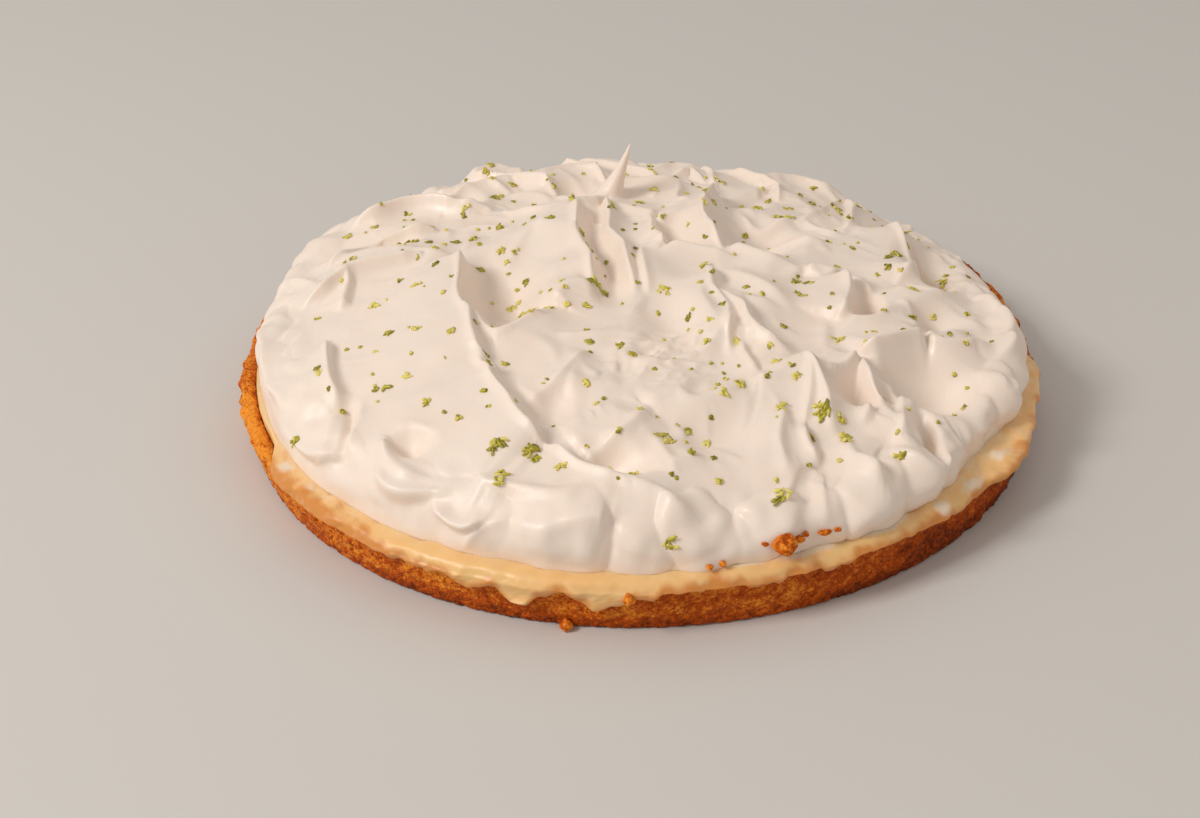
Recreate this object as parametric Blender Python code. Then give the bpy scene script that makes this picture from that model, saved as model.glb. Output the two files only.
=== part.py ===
"""Lemon pie: a pressed biscuit-crumb crust, filled with set lemon cream that spills over its rim,
under a thick layer of soft meringue swept into crests and hollows with a spoon, and strewn with lime zest.

The frame: origin at the centre of the crust's flat underside, +Z up, +X to the right and +Y to the back
as the pie is seen from its front. Blender's unit is the metre; the numbers below are millimetres, and
MM turns them into metres where a mesh is made.
"""

import math
from collections import namedtuple

import bmesh
import bpy
import numpy as np
from mathutils import Matrix, Vector
from mathutils.bvhtree import BVHTree

MM = 0.001

# Driving dimensions of the pie
CRUST_FOOT_RADIUS = 125.6   # the crust's outer radius where it stands
CRUST_FLARE = 0.7           # how far the crust's wall leans out by the top of its rim
CRUST_LEFT_SPREAD = 3.0     # how much further out the rim stands on the left
CRUST_FLOOR = 5.0           # thickness of the crust's floor
RIM_THICKNESS = 5.2         # thickness of the standing rim, inside to outside
RIM_HEIGHT_FRONT = 16.2     # top of the rim at the front
RIM_HEIGHT_LEFT = 18.4      # top of the rim at the left, where it stands bare
CREAM_LEVEL = 18.2          # top of the lemon cream, on which the meringue lies
CREAM_SKIN = 1.5            # thickness of the cream where it runs over the rim
NODE_GAP = 0.35             # free gap between two layers
MERINGUE_RADIUS = 120.8     # mean radius of the meringue's foot
MERINGUE_CENTRE = 46.0      # height of the meringue's middle, hollows and crests apart
MERINGUE_EDGE = 30.5        # height of its shoulder
SHOULDER = 10.0             # width of the rounded shoulder
WALL_LENGTH = 21.0          # length of the wall's surface, from the shoulder down to the foot
WALL_SHARE = 0.17           # the wall's share of the mesh rows between the middle and the foot
CREST_FULLNESS = 0.80       # the share of a stroke's height that its broad crest has
CREST_MEETING = 2.2         # how crests that meet add up: in full at 1, only the higher one at large values
LIP_HEIGHT, LIP_WIDTH = 1.3, 2.6            # the fine lip along a crest of 5 mm
CREST_ROUNDING = 0.6        # how blunt the crests are

# Mesh densities
RING_STEPS = 100            # steps round the crust and the cream
CAP_CELLS = 150             # cells across the meringue before it is thinned out
MERINGUE_TRIANGLES = 5600   # what is left of them

Stroke = namedtuple("Stroke", "start via end height left right lean rise fall")
Hollow = namedtuple("Hollow", "centre radii turn depth")
Torn = namedtuple("Torn", "centre radius height")
Peak = namedtuple("Peak", "centre radius height lean")
Puff = namedtuple("Puff", "angle down half_width half_height bulge")
Drip = namedtuple("Drip", "angle half_width reach")
Patch = namedtuple("Patch", "centre radius count length")


def stroke(start, via, end, height, left, right, lean=0.0, rise=0.2, fall=0.2):
    """One pull of the spoon. It leaves a crest on an arc from start over via to end. The crest's flanks run
    down over left and right of it. It hangs over by lean to its left. It rises and falls over those shares
    of its length."""
    return Stroke(start, via, end, height, left, right, lean, rise, fall)


# The crests, those of one part of the pie together
STROKES = [
    # the sharp edge left of the middle
    stroke((-59.5, 9), (-55.5, -29), (-47, -62.5), 8.6, 11, 46, 1.8, rise=0.1, fall=0.25),
    stroke((-52.5, -46), (-41, -80.5), (-28, -93), 7.4, 12, 42, 1.6, rise=0.25, fall=0.25),
    stroke((-30.5, -90), (-20, -104.5), (-3.5, -112), 6.4, 10, 30, 1.2, rise=0.25, fall=0.25),
    stroke((-14, -107), (-0.5, -113), (13, -118), 4.6, 12, 18, 0.8, rise=0.3, fall=0.4),
    stroke((-106, 19.5), (-82.5, 19.5), (-59.5, 12), 4.6, 18, 30, 0, rise=0.3, fall=0.15),
    # the rim of the bowl to its right
    stroke((-55, -24.5), (-42.5, -43), (-26, -24), 5, 13, 13, 0.8, rise=0.15),
    stroke((-27.5, -27), (-23, -21), (-13, -16), 5, 18, 11, 0, rise=0.25),
    stroke((-19, 46), (-21, 17), (-13, -18), 7.4, 9, 26, 1.4),
    stroke((-45.5, 50), (-28.5, 42), (-11, 53), 4.8, 14, 9, -1, rise=0.25, fall=0.1),
    stroke((-34, 24.5), (-26.5, 33), (-18, 51), 3.6, 9, 14, 0, fall=0.1),
    stroke((-44.5, 65.5), (-35, 64.5), (-25, 54.5), 1.8, 5, 5, 0, rise=0.3, fall=0.3),
    stroke((-67.5, 55.5), (-61, 65.5), (-53, 70), 3.2, 9, 12, 0, rise=0.3, fall=0.3),
    # the fins in the middle
    stroke((-9, 52), (-5.5, 10), (0, -21.5), 6.4, 7, 7, -0.6, rise=0.1, fall=0.45),
    stroke((0, 12), (3.5, -6), (3, -21), 3.4, 15, 5, -0.8, rise=0.3, fall=0.4),
    stroke((-10.5, 52.5), (-0.5, 42), (7, 35.5), 3.2, 12, 10, 0),
    # the bowls behind
    stroke((30, 63.5), (21.5, 30), (31, 4.5), 8.4, 11, 15, 1.4, rise=0.12, fall=0.3),
    stroke((29.5, 10.5), (37.5, 3.5), (48.5, -3), 4.2, 10, 14, 0.4, rise=0.3, fall=0.3),
    stroke((4.5, 36.5), (5, 15), (9.5, 8.5), 5, 10, 9, 1, rise=0.25, fall=0.25),
    stroke((7.5, 11), (20, 4), (34, 0.5), 4.2, 11, 13, 0.6, fall=0.3),
    stroke((5, 34.5), (14, 38.5), (23, 61.5), 3.4, 10, 9, 0, fall=0.15),
    stroke((16.5, 74), (15.5, 50.5), (19.5, 46), 3, 4, 6, 0.6, rise=0.3, fall=0.3),
    stroke((15.5, 80), (23.5, 89), (27.5, 70), 3.6, 9, 5, -0.6, rise=0.25, fall=0.25),
    # the two long crests running to the front
    stroke((19.5, -2), (23.5, -28), (25, -55.5), 6.4, 8, 22, 1.2, fall=0.3),
    stroke((23, -13), (30, -39.5), (43, -53), 5.6, 7, 9, 0.8),
    stroke((23, -3.5), (37, -15.5), (47, -31.5), 3.2, 14, 10, 0, rise=0.3, fall=0.3),
    stroke((28, -42.5), (30, -57), (35, -67), 3, 5, 9, 0.4, rise=0.3, fall=0.3),
    # the tall folds at the front right
    stroke((45, -54), (49.5, -71), (54, -88.5), 7.6, 9, 14, 0.7, rise=0.22, fall=0.4),
    stroke((53.5, -83), (56.5, -98), (65, -98.5), 4, 14, 10, 0.4, rise=0.3, fall=0.3),
    stroke((47.5, -54), (45, -72), (42.5, -85.5), 3.8, 6, 16, 0.8, rise=0.25, fall=0.4),
    stroke((43, -81.5), (42.5, -92), (46, -96.5), 3.6, 6, 11, 0.8, rise=0.3, fall=0.35),
    stroke((38, -76), (34.5, -94.5), (37.5, -106), 3.6, 9, 16, 0.8, rise=0.35, fall=0.3),
    stroke((7.5, -65.5), (15, -75), (30.5, -62.5), 3.8, 9, 16, 0, rise=0.3, fall=0.3),
    stroke((29, -64), (37.5, -67.5), (46, -54), 4.4, 10, 18, 0, rise=0.3, fall=0.1),
    stroke((44.5, -53.5), (52.5, -60), (64.5, -51), 4.8, 15, 5, -1.6, fall=0.15),
    stroke((63.5, -51.5), (65.5, -61.5), (64, -70.5), 4.8, 7, 8, -0.9, rise=0.3, fall=0.35),
    stroke((50, -64.5), (56, -58), (64, -51.5), 3, 5, 5, 0),
    stroke((61, -66.5), (59.5, -76.5), (59.5, -83.5), 3.4, 5, 7, 0.6, rise=0.25, fall=0.4),
    stroke((65, -60.5), (70, -61.5), (74, -62), 3.8, 8, 9, 0, rise=0.25),
    stroke((73.5, -62), (71.5, -77.5), (67, -90.5), 5.2, 9, 15, 0.8, rise=0.28, fall=0.3),
    stroke((66, -89.5), (74.5, -92), (89, -75), 3.8, 11, 9, -0.4, rise=0.25, fall=0.3),
    # the lumps at the right
    stroke((51, -6.5), (57.5, -3), (63, -6.5), 4.6, 10, 18, 0, rise=0.25, fall=0.15),
    stroke((62.5, -5.5), (62, -23.5), (59.5, -33.5), 6.6, 6, 18, 1.4, rise=0.15, fall=0.3),
    stroke((63, -26), (69.5, -31.5), (83, -20.5), 3.6, 8, 14, 0, rise=0.25, fall=0.3),
    stroke((84, 45), (88.5, 18.5), (80.5, -10.5), 8.0, 9, 24, 1.6, fall=0.25),
    stroke((81, -8), (87.5, -17), (102, -1.5), 4.2, 10, 14, 0, fall=0.3),
    stroke((91, 48.5), (97, 20), (105.5, 8), 4, 10, 11, -0.6, rise=0.15, fall=0.3),
    stroke((63.5, -50.5), (72, -44.5), (85.5, -38.5), 6, 16, 10, -1.6, rise=0.25),
    stroke((83, -39), (93.5, -39.5), (105, -35.5), 5.4, 18, 10, -1, fall=0.3),
    stroke((106.5, -5.5), (112, -20.5), (104, -45.5), 4.8, 10, 13, 0.6, fall=0.3),
    stroke((81, -20), (83, -28.5), (79.5, -37.5), 3, 7, 12, 0.4, rise=0.25, fall=0.25),
    # the fine crests at the back right
    stroke((-18, 62), (2, 67), (26, 66), 5.4, 15, 14, 0.4, rise=0.35, fall=0.3),
    stroke((34, 46), (45.5, 36), (59, 48.5), 2.2, 5, 4, -0.4, fall=0.25),
    stroke((33, 33), (46, 24.5), (66.5, 21), 2.8, 6, 5, -0.5, fall=0.25),
    stroke((57, 46.5), (62.5, 34.5), (71, 29), 2.4, 6, 5, -0.4, rise=0.25, fall=0.3),
    stroke((34.5, 63.5), (47, 74.5), (61.5, 82), 2.2, 8, 6, -0.3, rise=0.3, fall=0.3),
    stroke((42.5, 6.5), (46.5, -1), (52, -5.5), 2.4, 7, 7, 0, rise=0.25),
    # the low crests in the middle and the front
    stroke((-19.5, -57.5), (-21.5, -70), (-19, -82.5), 3.2, 11, 15, 0.3, rise=0.35, fall=0.35),
    stroke((-36, -74.5), (-26.5, -65), (-15, -49.5), 4, 10, 10, -0.6, rise=0.25),
    stroke((-20, -55.5), (-17, -61.5), (-14.5, -64), 1.8, 4, 4, 0, fall=0.3),
    stroke((0, -78), (-8, -89.5), (-20, -97), 4.8, 11, 20, 0.8, rise=0.3, fall=0.15),
    stroke((16, -62.5), (6, -73), (-2.5, -78), 3, 9, 9, 0, rise=0.3, fall=0.3),
    # the curl at the front left and the folds round it
    stroke((-73, -82), (-71.5, -93.5), (-54, -103), 4.2, 9, 8, 0.8, rise=0.25, fall=0.3),
    stroke((-72.5, -82.5), (-66, -78.5), (-57.5, -85.5), 1.8, 8, 4, -0.4, rise=0.3, fall=0.3),
    stroke((-75.5, -91), (-67, -99.5), (-54, -104), 4.2, 7, 3, -1.3, rise=0.25, fall=0.3),
    stroke((-60, -103.5), (-51, -110.5), (-39, -112.5), 4.2, 8, 3.2, -1.4, rise=0.25, fall=0.25),
    stroke((-51.5, -113), (-44, -113.5), (-35, -113.5), 3.0, 3.5, 9, 1.0, rise=0.3, fall=0.3),
    stroke((-37, -113.8), (-25, -116.8), (-12, -118.6), 3.6, 11, 9, -0.5, rise=0.2, fall=0.1),
    stroke((-47, -103), (-35, -109), (-17, -112.5), 3.4, 12, 4, -1.0, rise=0.3, fall=0.3),
    stroke((-116, -8), (-113, -32), (-103, -60), 2.8, 8, 3.2, -1.0, rise=0.3, fall=0.3),
    stroke((-104.5, -57), (-97, -71), (-82, -84.5), 2.8, 8, 3.2, -1.0, rise=0.25, fall=0.3),
    stroke((-116, 8), (-111, 14), (-101, -4), 2.6, 6, 4, 0.8, rise=0.3, fall=0.3),
    stroke((-97.5, -29.5), (-94, -50), (-90, -67), 4.8, 8, 15, 1.2),
    stroke((-89.5, -66), (-87, -77.5), (-87, -82.5), 3.6, 8, 12, 0.8, rise=0.25, fall=0.25),
    stroke((-83.5, -62), (-82, -77.5), (-83, -85), 1.8, 16, 6, -0.4, rise=0.3, fall=0.3),
    stroke((-97.5, 10.5), (-94, -4.5), (-94.5, -14), 4, 5, 11, 1, rise=0.25, fall=0.25),
    # the folds along the back edge
    stroke((-64, 62), (-52, 74), (-38, 80), 5.0, 12, 16, 1.0),
    stroke((-58, 88), (-48, 97), (-36, 98), 5.0, 9, 14, 0, rise=0.1),
    stroke((-36, 76), (-22, 84), (-6, 80), 4.6, 12, 14, 1.0),
    stroke((-98, 44), (-80, 56), (-62, 56), 3.6, 12, 14, 1.0),
    stroke((-30, 92), (-22, 99), (-14, 96), 4.0, 9, 11, 0, rise=0.3, fall=0.3),
    stroke((4, 84), (18, 93), (30, 86), 4.5, 12, 15, 0.6, rise=0.3, fall=0.3),
    stroke((46, 80), (62, 88), (78, 74), 6.4, 10, 16, 0.6, rise=0.3, fall=0.3),
]

# The back, where the spoon's strokes follow one another round the edge
BACK_STROKES = dict(first=22.0, last=168.0, count=11, inner=58.0, outer=106.0, sweep=14.0, height=5.2)

# Where the spoon pressed in
HOLLOWS = [
    Hollow((-43, -12), (15, 26), 10, 9.1),      # the bowl right of the sharp edge
    Hollow((-33, 12), (10, 13), 30, 3.9),
    Hollow((41, 26), (13, 18), 20, 7.8),        # the bowl behind the middle
    Hollow((13, 22), (9, 13), 10, 5.7),
    Hollow((95, 12), (11, 16), 0, 9.6),
    Hollow((90, -27), (10, 7), 30, 5.2),
    Hollow((84, -57), (15, 13), -10, 9.1),
    Hollow((79, -82), (4, 12), 5, 6.5),
    Hollow((59, -66), (6, 9), 0, 6.0),
    Hollow((71, -70), (5, 11), 8, 5.0),
    Hollow((68, -22), (7, 9), 0, 6.5),
    Hollow((-66, -87), (8, 6), 0, 4.2),
    Hollow((-11, -98), (11, 7), -30, 6.0),
    Hollow((-26, -74), (10, 10), 0, 4.7),
    Hollow((8, -38), (11, 18), 0, 4.2),
    Hollow((20, -88), (12, 12), 0, 3.4),
    Hollow((-58, 60), (6, 8), 20, 4.9),
    Hollow((-87, -76), (4, 12), 0, 3.6),
    Hollow((-90, 30), (18, 10), 15, 4.7),
    Hollow((24, -28), (4, 14), 5, 3.9),
    Hollow((-9, -8), (6, 16), 5, 3.9),
    Hollow((40, 56), (9, 7), 20, 3.4),
    Hollow((-20, 68), (12, 7), 0, 3.9),
]

# Where the meringue tore into small crests: the middle of each patch, its radius and the crests' height
TORN = [Torn((4, -53), 17.0, 0.9), Torn((24, -44), 10.0, 0.6), Torn((66, -66), 9.0, 0.5)]

# Where the spoon was lifted off and drew the meringue up
PEAKS = [
    Peak((-10.5, 57), 9.5, 27.4, (11.0, -1.5)),
    Peak((27, 66), 7.5, 3.0, (1.0, 0.5)),
    Peak((45, -55), 8.0, 1.4, (1.2, 0.5)),
]

# The puffs that the wall is made of. A puff lies at an angle and so far down the wall from its shoulder;
# it has a half width and a half height along the wall, and stands out by its bulge.
FRONT_PUFFS = [
    Puff(-160, 12, 26, 14, 1.6), Puff(-141, 13, 22, 14, 1.6), Puff(-125, 13, 22, 13, 1.8),
    Puff(-113, 13, 13, 12, 2.4), Puff(-102, 12, 15, 15, 3.6), Puff(-91.8, 15, 8.5, 11, 2.4),
    Puff(-84.6, 12, 11, 14, 4.2), Puff(-77.5, 17, 10, 9, 2.4), Puff(-73.6, 8.5, 10.5, 9, 4.6),
    Puff(-67.5, 12.5, 7, 10, 2.8), Puff(-60.3, 12, 11.5, 14, 6.0), Puff(-51.5, 10, 9.5, 12, 5.4),
    Puff(-44, 13, 9, 10, 2.2), Puff(-36, 9, 11, 12, 2.4), Puff(-27, 10, 10, 12, 4.2),
    Puff(-19.5, 9, 9, 13, 4.0), Puff(-11, 11, 10, 12, 3.8), Puff(-2, 9, 11, 13, 3.0),
]
BACK_PUFFS = dict(first=8.0, last=188.0, narrow=9.0, wide=19.0, least=1.4, most=3.6, seed=11)

# How far down the crust's outside the cream's edge hangs, all along the front, and its drips
CREAM_EDGE = 15.4           # height of the cream's lower edge between the drips
SPILL_FIRST, SPILL_LAST = -152.0, -6.0
DRIPS = [
    Drip(-126, 4, 1.6), Drip(-120.5, 4, 2.6), Drip(-117, 2.4, 1.2), Drip(-112.5, 3.2, 4.6),
    Drip(-106.5, 3.0, 8.0), Drip(-102.6, 1.8, 2.6), Drip(-97, 3.6, 6.8), Drip(-92, 3.2, 3.2),
    Drip(-79, 4, 0.6), Drip(-76, 2, 0.9), Drip(-49, 4, 1.2),
]
FLAP_FIRST, FLAP_LAST = -43.0, -4.0     # here the cream stands straight out over the rim
FLAP_REACH = 1.0
FLAP_TIP = Drip(-35, 9, 3.4)
FLAP_THICKNESS = 3.0

# Lime zest, the thickest clusters first, then strewn over the rest
ZEST_PATCHES = [
    Patch((-31, -97), 2.6, 3, 4.2), Patch((-42, -97), 2.6, 3, 4.4), Patch((-41, -107), 3.2, 3, 4.0),
    Patch((5, -91), 2.4, 3, 4.2), Patch((48, -80), 3.0, 3, 4.4), Patch((54, -86), 4.0, 3, 3.4),
    Patch((34, -113), 1.0, 1, 4.6), Patch((67, -96), 1.2, 1, 4.8), Patch((-13, 6), 3.0, 2, 4.0),
    Patch((-35, -34), 1.5, 2, 4.0), Patch((-13, -16), 3.0, 2, 3.8), Patch((7, -17), 1.0, 1, 6.4),
    Patch((-39, -20), 1.5, 1, 4.4), Patch((-70, 64), 5.0, 2, 4.2), Patch((-89, 55), 2.0, 1, 4.6),
    Patch((-82, -15), 2.0, 1, 3.8), Patch((-78, 22), 6.0, 2, 3.8), Patch((85, 13), 2.0, 1, 4.6),
    Patch((52, 47), 5.0, 3, 4.2), Patch((-48, 64), 2.0, 1, 4.2), Patch((28, -70), 2.0, 1, 3.8),
    Patch((82, -14), 4.0, 1, 4.2), Patch((2, -126), 1.0, 1, 4.0), Patch((-100, -74), 4.0, 1, 3.8),
]
ZEST_STREWN = 150           # flakes over the whole top, besides those in the patches
ZEST_FUSED = 40             # the largest of them, joined to the meringue
CRUMB_ON_MERINGUE = (-74.2, 3.1)     # the angle at which a fallen crumb sticks to the wall, and its radius


def angle_gap(angle, centre):
    """The signed angle from centre to angle, in degrees, within half a turn."""
    return (angle - centre + 180.0) % 360.0 - 180.0


def bump(t):
    """1 at t = 0, falling smoothly to 0 at t = 1 either way."""
    t = np.clip(np.abs(t), 0.0, 1.0)
    return (1.0 - t * t) ** 2


def step(low, high, value):
    """0 below low, 1 above high, and smooth between."""
    t = np.clip((value - low) / (high - low), 0.0, 1.0)
    return t * t * (3.0 - 2.0 * t)


def waves(x, y, length, seed, count=7):
    """A smooth random relief between about -1 and 1 whose features are about length across."""
    draw = np.random.default_rng(seed)
    total = np.zeros_like(x, dtype=float)
    turns, phases = draw.uniform(0, 2 * math.pi, count), draw.uniform(0, 2 * math.pi, count)
    for turn, phase, stretch in zip(turns, phases, draw.uniform(0.7, 1.4, count)):
        k = 2 * math.pi / (length * stretch)
        total += np.sin(k * (x * math.cos(turn) + y * math.sin(turn)) + phase)
    return total / math.sqrt(count)


# The meringue

def arc_points(start, via, end, count=14):
    """Points on an arc from start over via to end."""
    a, m, b = np.array(start, float), np.array(via, float), np.array(end, float)
    middle = 2 * m - (a + b) / 2
    t = np.linspace(0.0, 1.0, count + 1)[:, None]
    return (1 - t) ** 2 * a + 2 * t * (1 - t) * middle + t * t * b


def near_arc(x, y, points):
    """For each place: its distance to the line of points, signed + on the left, the share of the line's
    length there, and the line's left-hand normal."""
    best = np.full(x.shape, np.inf)
    side, share = np.zeros_like(x), np.zeros_like(x)
    normal_x, normal_y = np.zeros_like(x), np.zeros_like(x)
    for i, (p, q) in enumerate(zip(points[:-1], points[1:])):
        d = q - p
        length = np.hypot(*d)
        t = np.clip(((x - p[0]) * d[0] + (y - p[1]) * d[1]) / length**2, 0.0, 1.0)
        off_x, off_y = x - p[0] - t * d[0], y - p[1] - t * d[1]
        gap = np.hypot(off_x, off_y)
        nearer = gap < best
        best = np.where(nearer, gap, best)
        side = np.where(nearer, np.sign(d[0] * off_y - d[1] * off_x), side)
        share = np.where(nearer, (i + t) / (len(points) - 1), share)
        normal_x = np.where(nearer, -d[1] / length, normal_x)
        normal_y = np.where(nearer, d[0] / length, normal_y)
    return best * side, share, normal_x, normal_y


def crest_relief(x, y, s, points):
    """The height that a stroke's crest adds at each place, its fine lip, and how far it carries that place
    sideways."""
    distance, share, normal_x, normal_y = near_arc(x, y, points)
    width = np.where(distance > 0, s.left, s.right)
    sharp = min(1.0, abs(s.lean) / 1.2)         # a crest that hangs over is sharp, an upright one blunt
    blunt = CREST_ROUNDING + 1.1 * (1.0 - sharp) * min(1.0, min(s.left, s.right) / 8.0)
    away = np.sqrt(distance**2 + blunt**2) - blunt
    hollow = 2.0 - 0.7 * step(9, 30, width)     # a narrow flank is hollow, a broad one nearly straight
    flank = np.clip(1.0 - away / width, 0.0, 1.0) ** hollow
    ends = step(0.0, s.rise, share) * step(0.0, s.fall, 1.0 - share)
    lip_ends = step(0.0, 0.25 * s.rise, share) * step(0.0, 0.5 * s.fall, 1.0 - share)
    lip_height = LIP_HEIGHT * min(s.height / 5.0, 1.2) * (0.4 + 0.6 * sharp)
    lip = np.clip(1.0 - away / LIP_WIDTH, 0.0, 1.0) ** 2 * lip_ends * lip_height
    narrow = bump(distance / min(s.left, s.right)) * ends * s.lean
    return s.height * CREST_FULLNESS * flank * ends, lip, narrow * normal_x, narrow * normal_y


def back_strokes():
    """The strokes of the far side: one after another round the edge, each sweeping from inside outwards."""
    draw = np.random.default_rng(5)
    plan = BACK_STROKES
    for angle in np.linspace(plan["first"], plan["last"], plan["count"]):
        a = math.radians(angle + draw.uniform(-4, 4))
        b = a + math.radians(plan["sweep"] + draw.uniform(-6, 8))
        inner, outer = plan["inner"] + draw.uniform(8, 24), plan["outer"] + draw.uniform(-4, 5)
        between = (inner + outer) / 2 + draw.uniform(1, 4)
        c = a + (b - a) * 0.35
        start = (inner * math.cos(a), inner * math.sin(a))
        via = (between * math.cos(c), between * math.sin(c))
        end = (outer * math.cos(b), outer * math.sin(b))
        yield stroke(start, via, end, plan["height"] + draw.uniform(-1.6, 1.4), 8, 18, 1.2)


def small_strokes():
    """Slight crests between the large ones."""
    draw = np.random.default_rng(23)
    for _ in range(90):
        radius, angle = 108 * math.sqrt(draw.uniform(0.02, 1)), draw.uniform(0, 2 * math.pi)
        heading, length = draw.normal(-0.9, 0.7), draw.uniform(12, 30)
        x, y = radius * math.cos(angle), radius * math.sin(angle)
        along, bow = (length * math.cos(heading), length * math.sin(heading)), draw.uniform(-0.13, 0.13)
        via = (x + along[0] / 2 - along[1] * bow, y + along[1] / 2 + along[0] * bow)
        height = draw.uniform(0.6, 2.0)
        if x < -45 and y < 10:
            height *= 0.35      # the broad left flank was swept smooth
        left, right, lean = draw.uniform(2.5, 8), draw.uniform(5, 12), draw.uniform(0, 0.9)
        end = (x + along[0], y + along[1])
        yield stroke((x, y), via, end, height, left, right, lean, rise=0.35, fall=0.35)


def foot_radius(angle):
    """The radius of the meringue's foot at an angle in degrees."""
    radius = MERINGUE_RADIUS + 2.6 * np.cos(np.radians(angle + 95)) + 0.8 * bump(angle_gap(angle, -93) / 16)
    return radius - 3.2 * bump(angle_gap(angle, -38) / 13) + 1.2 * bump(angle_gap(angle, 45) / 40)


def edge_height(angle):
    """The height of the meringue's shoulder at an angle: high at the left, low at the back right."""
    height = MERINGUE_EDGE + 3.0 * np.cos(np.radians(angle - 170))
    height += 3.0 * bump(angle_gap(angle, 152) / 30) + 2.0 * bump(angle_gap(angle, -15) / 22)
    return height - 4.6 * bump(angle_gap(angle, 44) / 52)


def unrolled(place):
    """A place in the plan, with the wall laid out flat beyond the shoulder."""
    radius, angle = math.hypot(*place), math.degrees(math.atan2(place[1], place[0]))
    shoulder_at = float(foot_radius(angle)) - SHOULDER
    if radius <= shoulder_at:
        return place
    turn = math.acos(1.0 - max(SHOULDER + shoulder_at - radius, 0.0) / SHOULDER)
    out = shoulder_at + WALL_LENGTH * (1.0 - turn / (math.pi / 2))
    return place[0] * out / radius, place[1] * out / radius


def all_puffs():
    """The puffs of the wall all round."""
    plan = BACK_PUFFS
    draw = np.random.default_rng(plan["seed"])
    puffs, at = list(FRONT_PUFFS), plan["first"]
    while at < plan["last"]:
        half = draw.uniform(plan["narrow"], plan["wide"])
        degrees = math.degrees(half / MERINGUE_RADIUS)
        at += degrees * 0.85
        down, tall = draw.uniform(7, 14), draw.uniform(8, 13)
        bulge = draw.uniform(plan["least"], plan["most"])
        puffs.append(Puff(at, down, half, tall, bulge))
        at += degrees * 0.85
    return puffs


def puff_bulge(angle, down):
    """How far the wall stands out at so far down from its shoulder: uneven puffs with creases between."""
    flat_x = (MERINGUE_RADIUS + down) * np.cos(np.radians(angle))
    flat_y = (MERINGUE_RADIUS + down) * np.sin(np.radians(angle))
    aside, aslant = 1.7 * waves(flat_x, flat_y, 19, 21), 1.9 * waves(flat_x, flat_y, 15, 22)
    bulge = np.zeros_like(down)
    for puff in all_puffs():
        u = (np.radians(angle_gap(angle, puff.angle)) * MERINGUE_RADIUS + aside) / puff.half_width
        v = (down + aslant - puff.down) / puff.half_height
        bulge += (puff.bulge * np.clip(1.0 - u**2 - v**2, 0.0, 1.0) ** 0.75) ** 3
    lumps = 0.3 * waves(flat_x, flat_y, 12, 31) + 0.07 * waves(flat_x, flat_y, 6, 32)
    return np.cbrt(bulge) + lumps * step(-8, 2, down)


def mound_height(x, y):
    """The height of the meringue's mound without the marks of the spoon."""
    radius, angle = np.hypot(x, y), np.degrees(np.arctan2(y, x))
    edge = edge_height(angle)
    share = np.clip(radius / foot_radius(angle), 0.0, 1.0)
    return edge + (MERINGUE_CENTRE - edge) * (1.0 - share**2.2)


def top_relief(x, y):
    """What the spoon did to the mound at each place of the unrolled plan: the height it added, and how far it
    carried that place sideways. Crests that meet run into one another."""
    warp_x, warp_y = x + 1.0 * waves(x, y, 26, 3), y + 1.0 * waves(x, y, 26, 4)
    crests, lips = np.zeros_like(x), np.zeros_like(x)
    shift_x, shift_y = np.zeros_like(x), np.zeros_like(x)
    for s in [*STROKES, *back_strokes(), *small_strokes()]:
        points = arc_points(unrolled(s.start), unrolled(s.via), unrolled(s.end))
        low, high = points.min(axis=0) - max(s.left, s.right), points.max(axis=0) + max(s.left, s.right)
        near = (warp_x > low[0]) & (warp_x < high[0]) & (warp_y > low[1]) & (warp_y < high[1])
        rise, lip, over_x, over_y = crest_relief(warp_x[near], warp_y[near], s, points)
        crests[near] += rise**CREST_MEETING
        lips[near] = np.maximum(lips[near], lip)
        shift_x[near] += over_x
        shift_y[near] += over_y
    height = crests ** (1.0 / CREST_MEETING) + lips
    for hollow in HOLLOWS:
        turn = math.radians(hollow.turn)
        dx, dy = warp_x - hollow.centre[0], warp_y - hollow.centre[1]
        u = (dx * math.cos(turn) + dy * math.sin(turn)) / hollow.radii[0]
        v = (dy * math.cos(turn) - dx * math.sin(turn)) / hollow.radii[1]
        height -= hollow.depth * bump(np.hypot(u, v) / 1.25)
    for peak in PEAKS:
        q = np.clip(1.0 - np.hypot(x - peak.centre[0], y - peak.centre[1]) / peak.radius, 0.0, 1.0)
        height += peak.height * (0.35 * q**1.6 + 0.65 * q**3.4)
        shift_x += peak.lean[0] * q**2
        shift_y += peak.lean[1] * q**2
    for torn in TORN:
        near = bump(np.hypot(x - torn.centre[0], y - torn.centre[1]) / (1.3 * torn.radius))
        creases = 1.8 * np.abs(waves(x, y, 15, 41)) + 0.6 * np.abs(waves(x, y, 7, 42))
        height += near * torn.height * (1.0 - creases)
    height += 0.7 * waves(x, y, 34, 8) + 0.12 * waves(x, y, 11, 9)
    return height, shift_x, shift_y


def cap_plan(cells):
    """A square grid pressed onto a disc: the share of the way out, and the angle, of each of its points."""
    a, b = np.meshgrid(np.linspace(-1, 1, cells + 1), np.linspace(-1, 1, cells + 1))
    share = np.maximum(np.abs(a), np.abs(b))
    safe = np.where(share == 0, 1.0, share)
    wide = np.abs(a) > np.abs(b)
    large, small = np.where(wide, a, b), np.where(wide, b, a)
    turn = math.pi / 4 * small / np.where(large == 0, safe, large)
    turn = np.where(wide, turn, math.pi / 2 - turn)
    turn = np.where(large < 0, turn + math.pi, turn)
    return share, np.degrees(turn)


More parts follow.
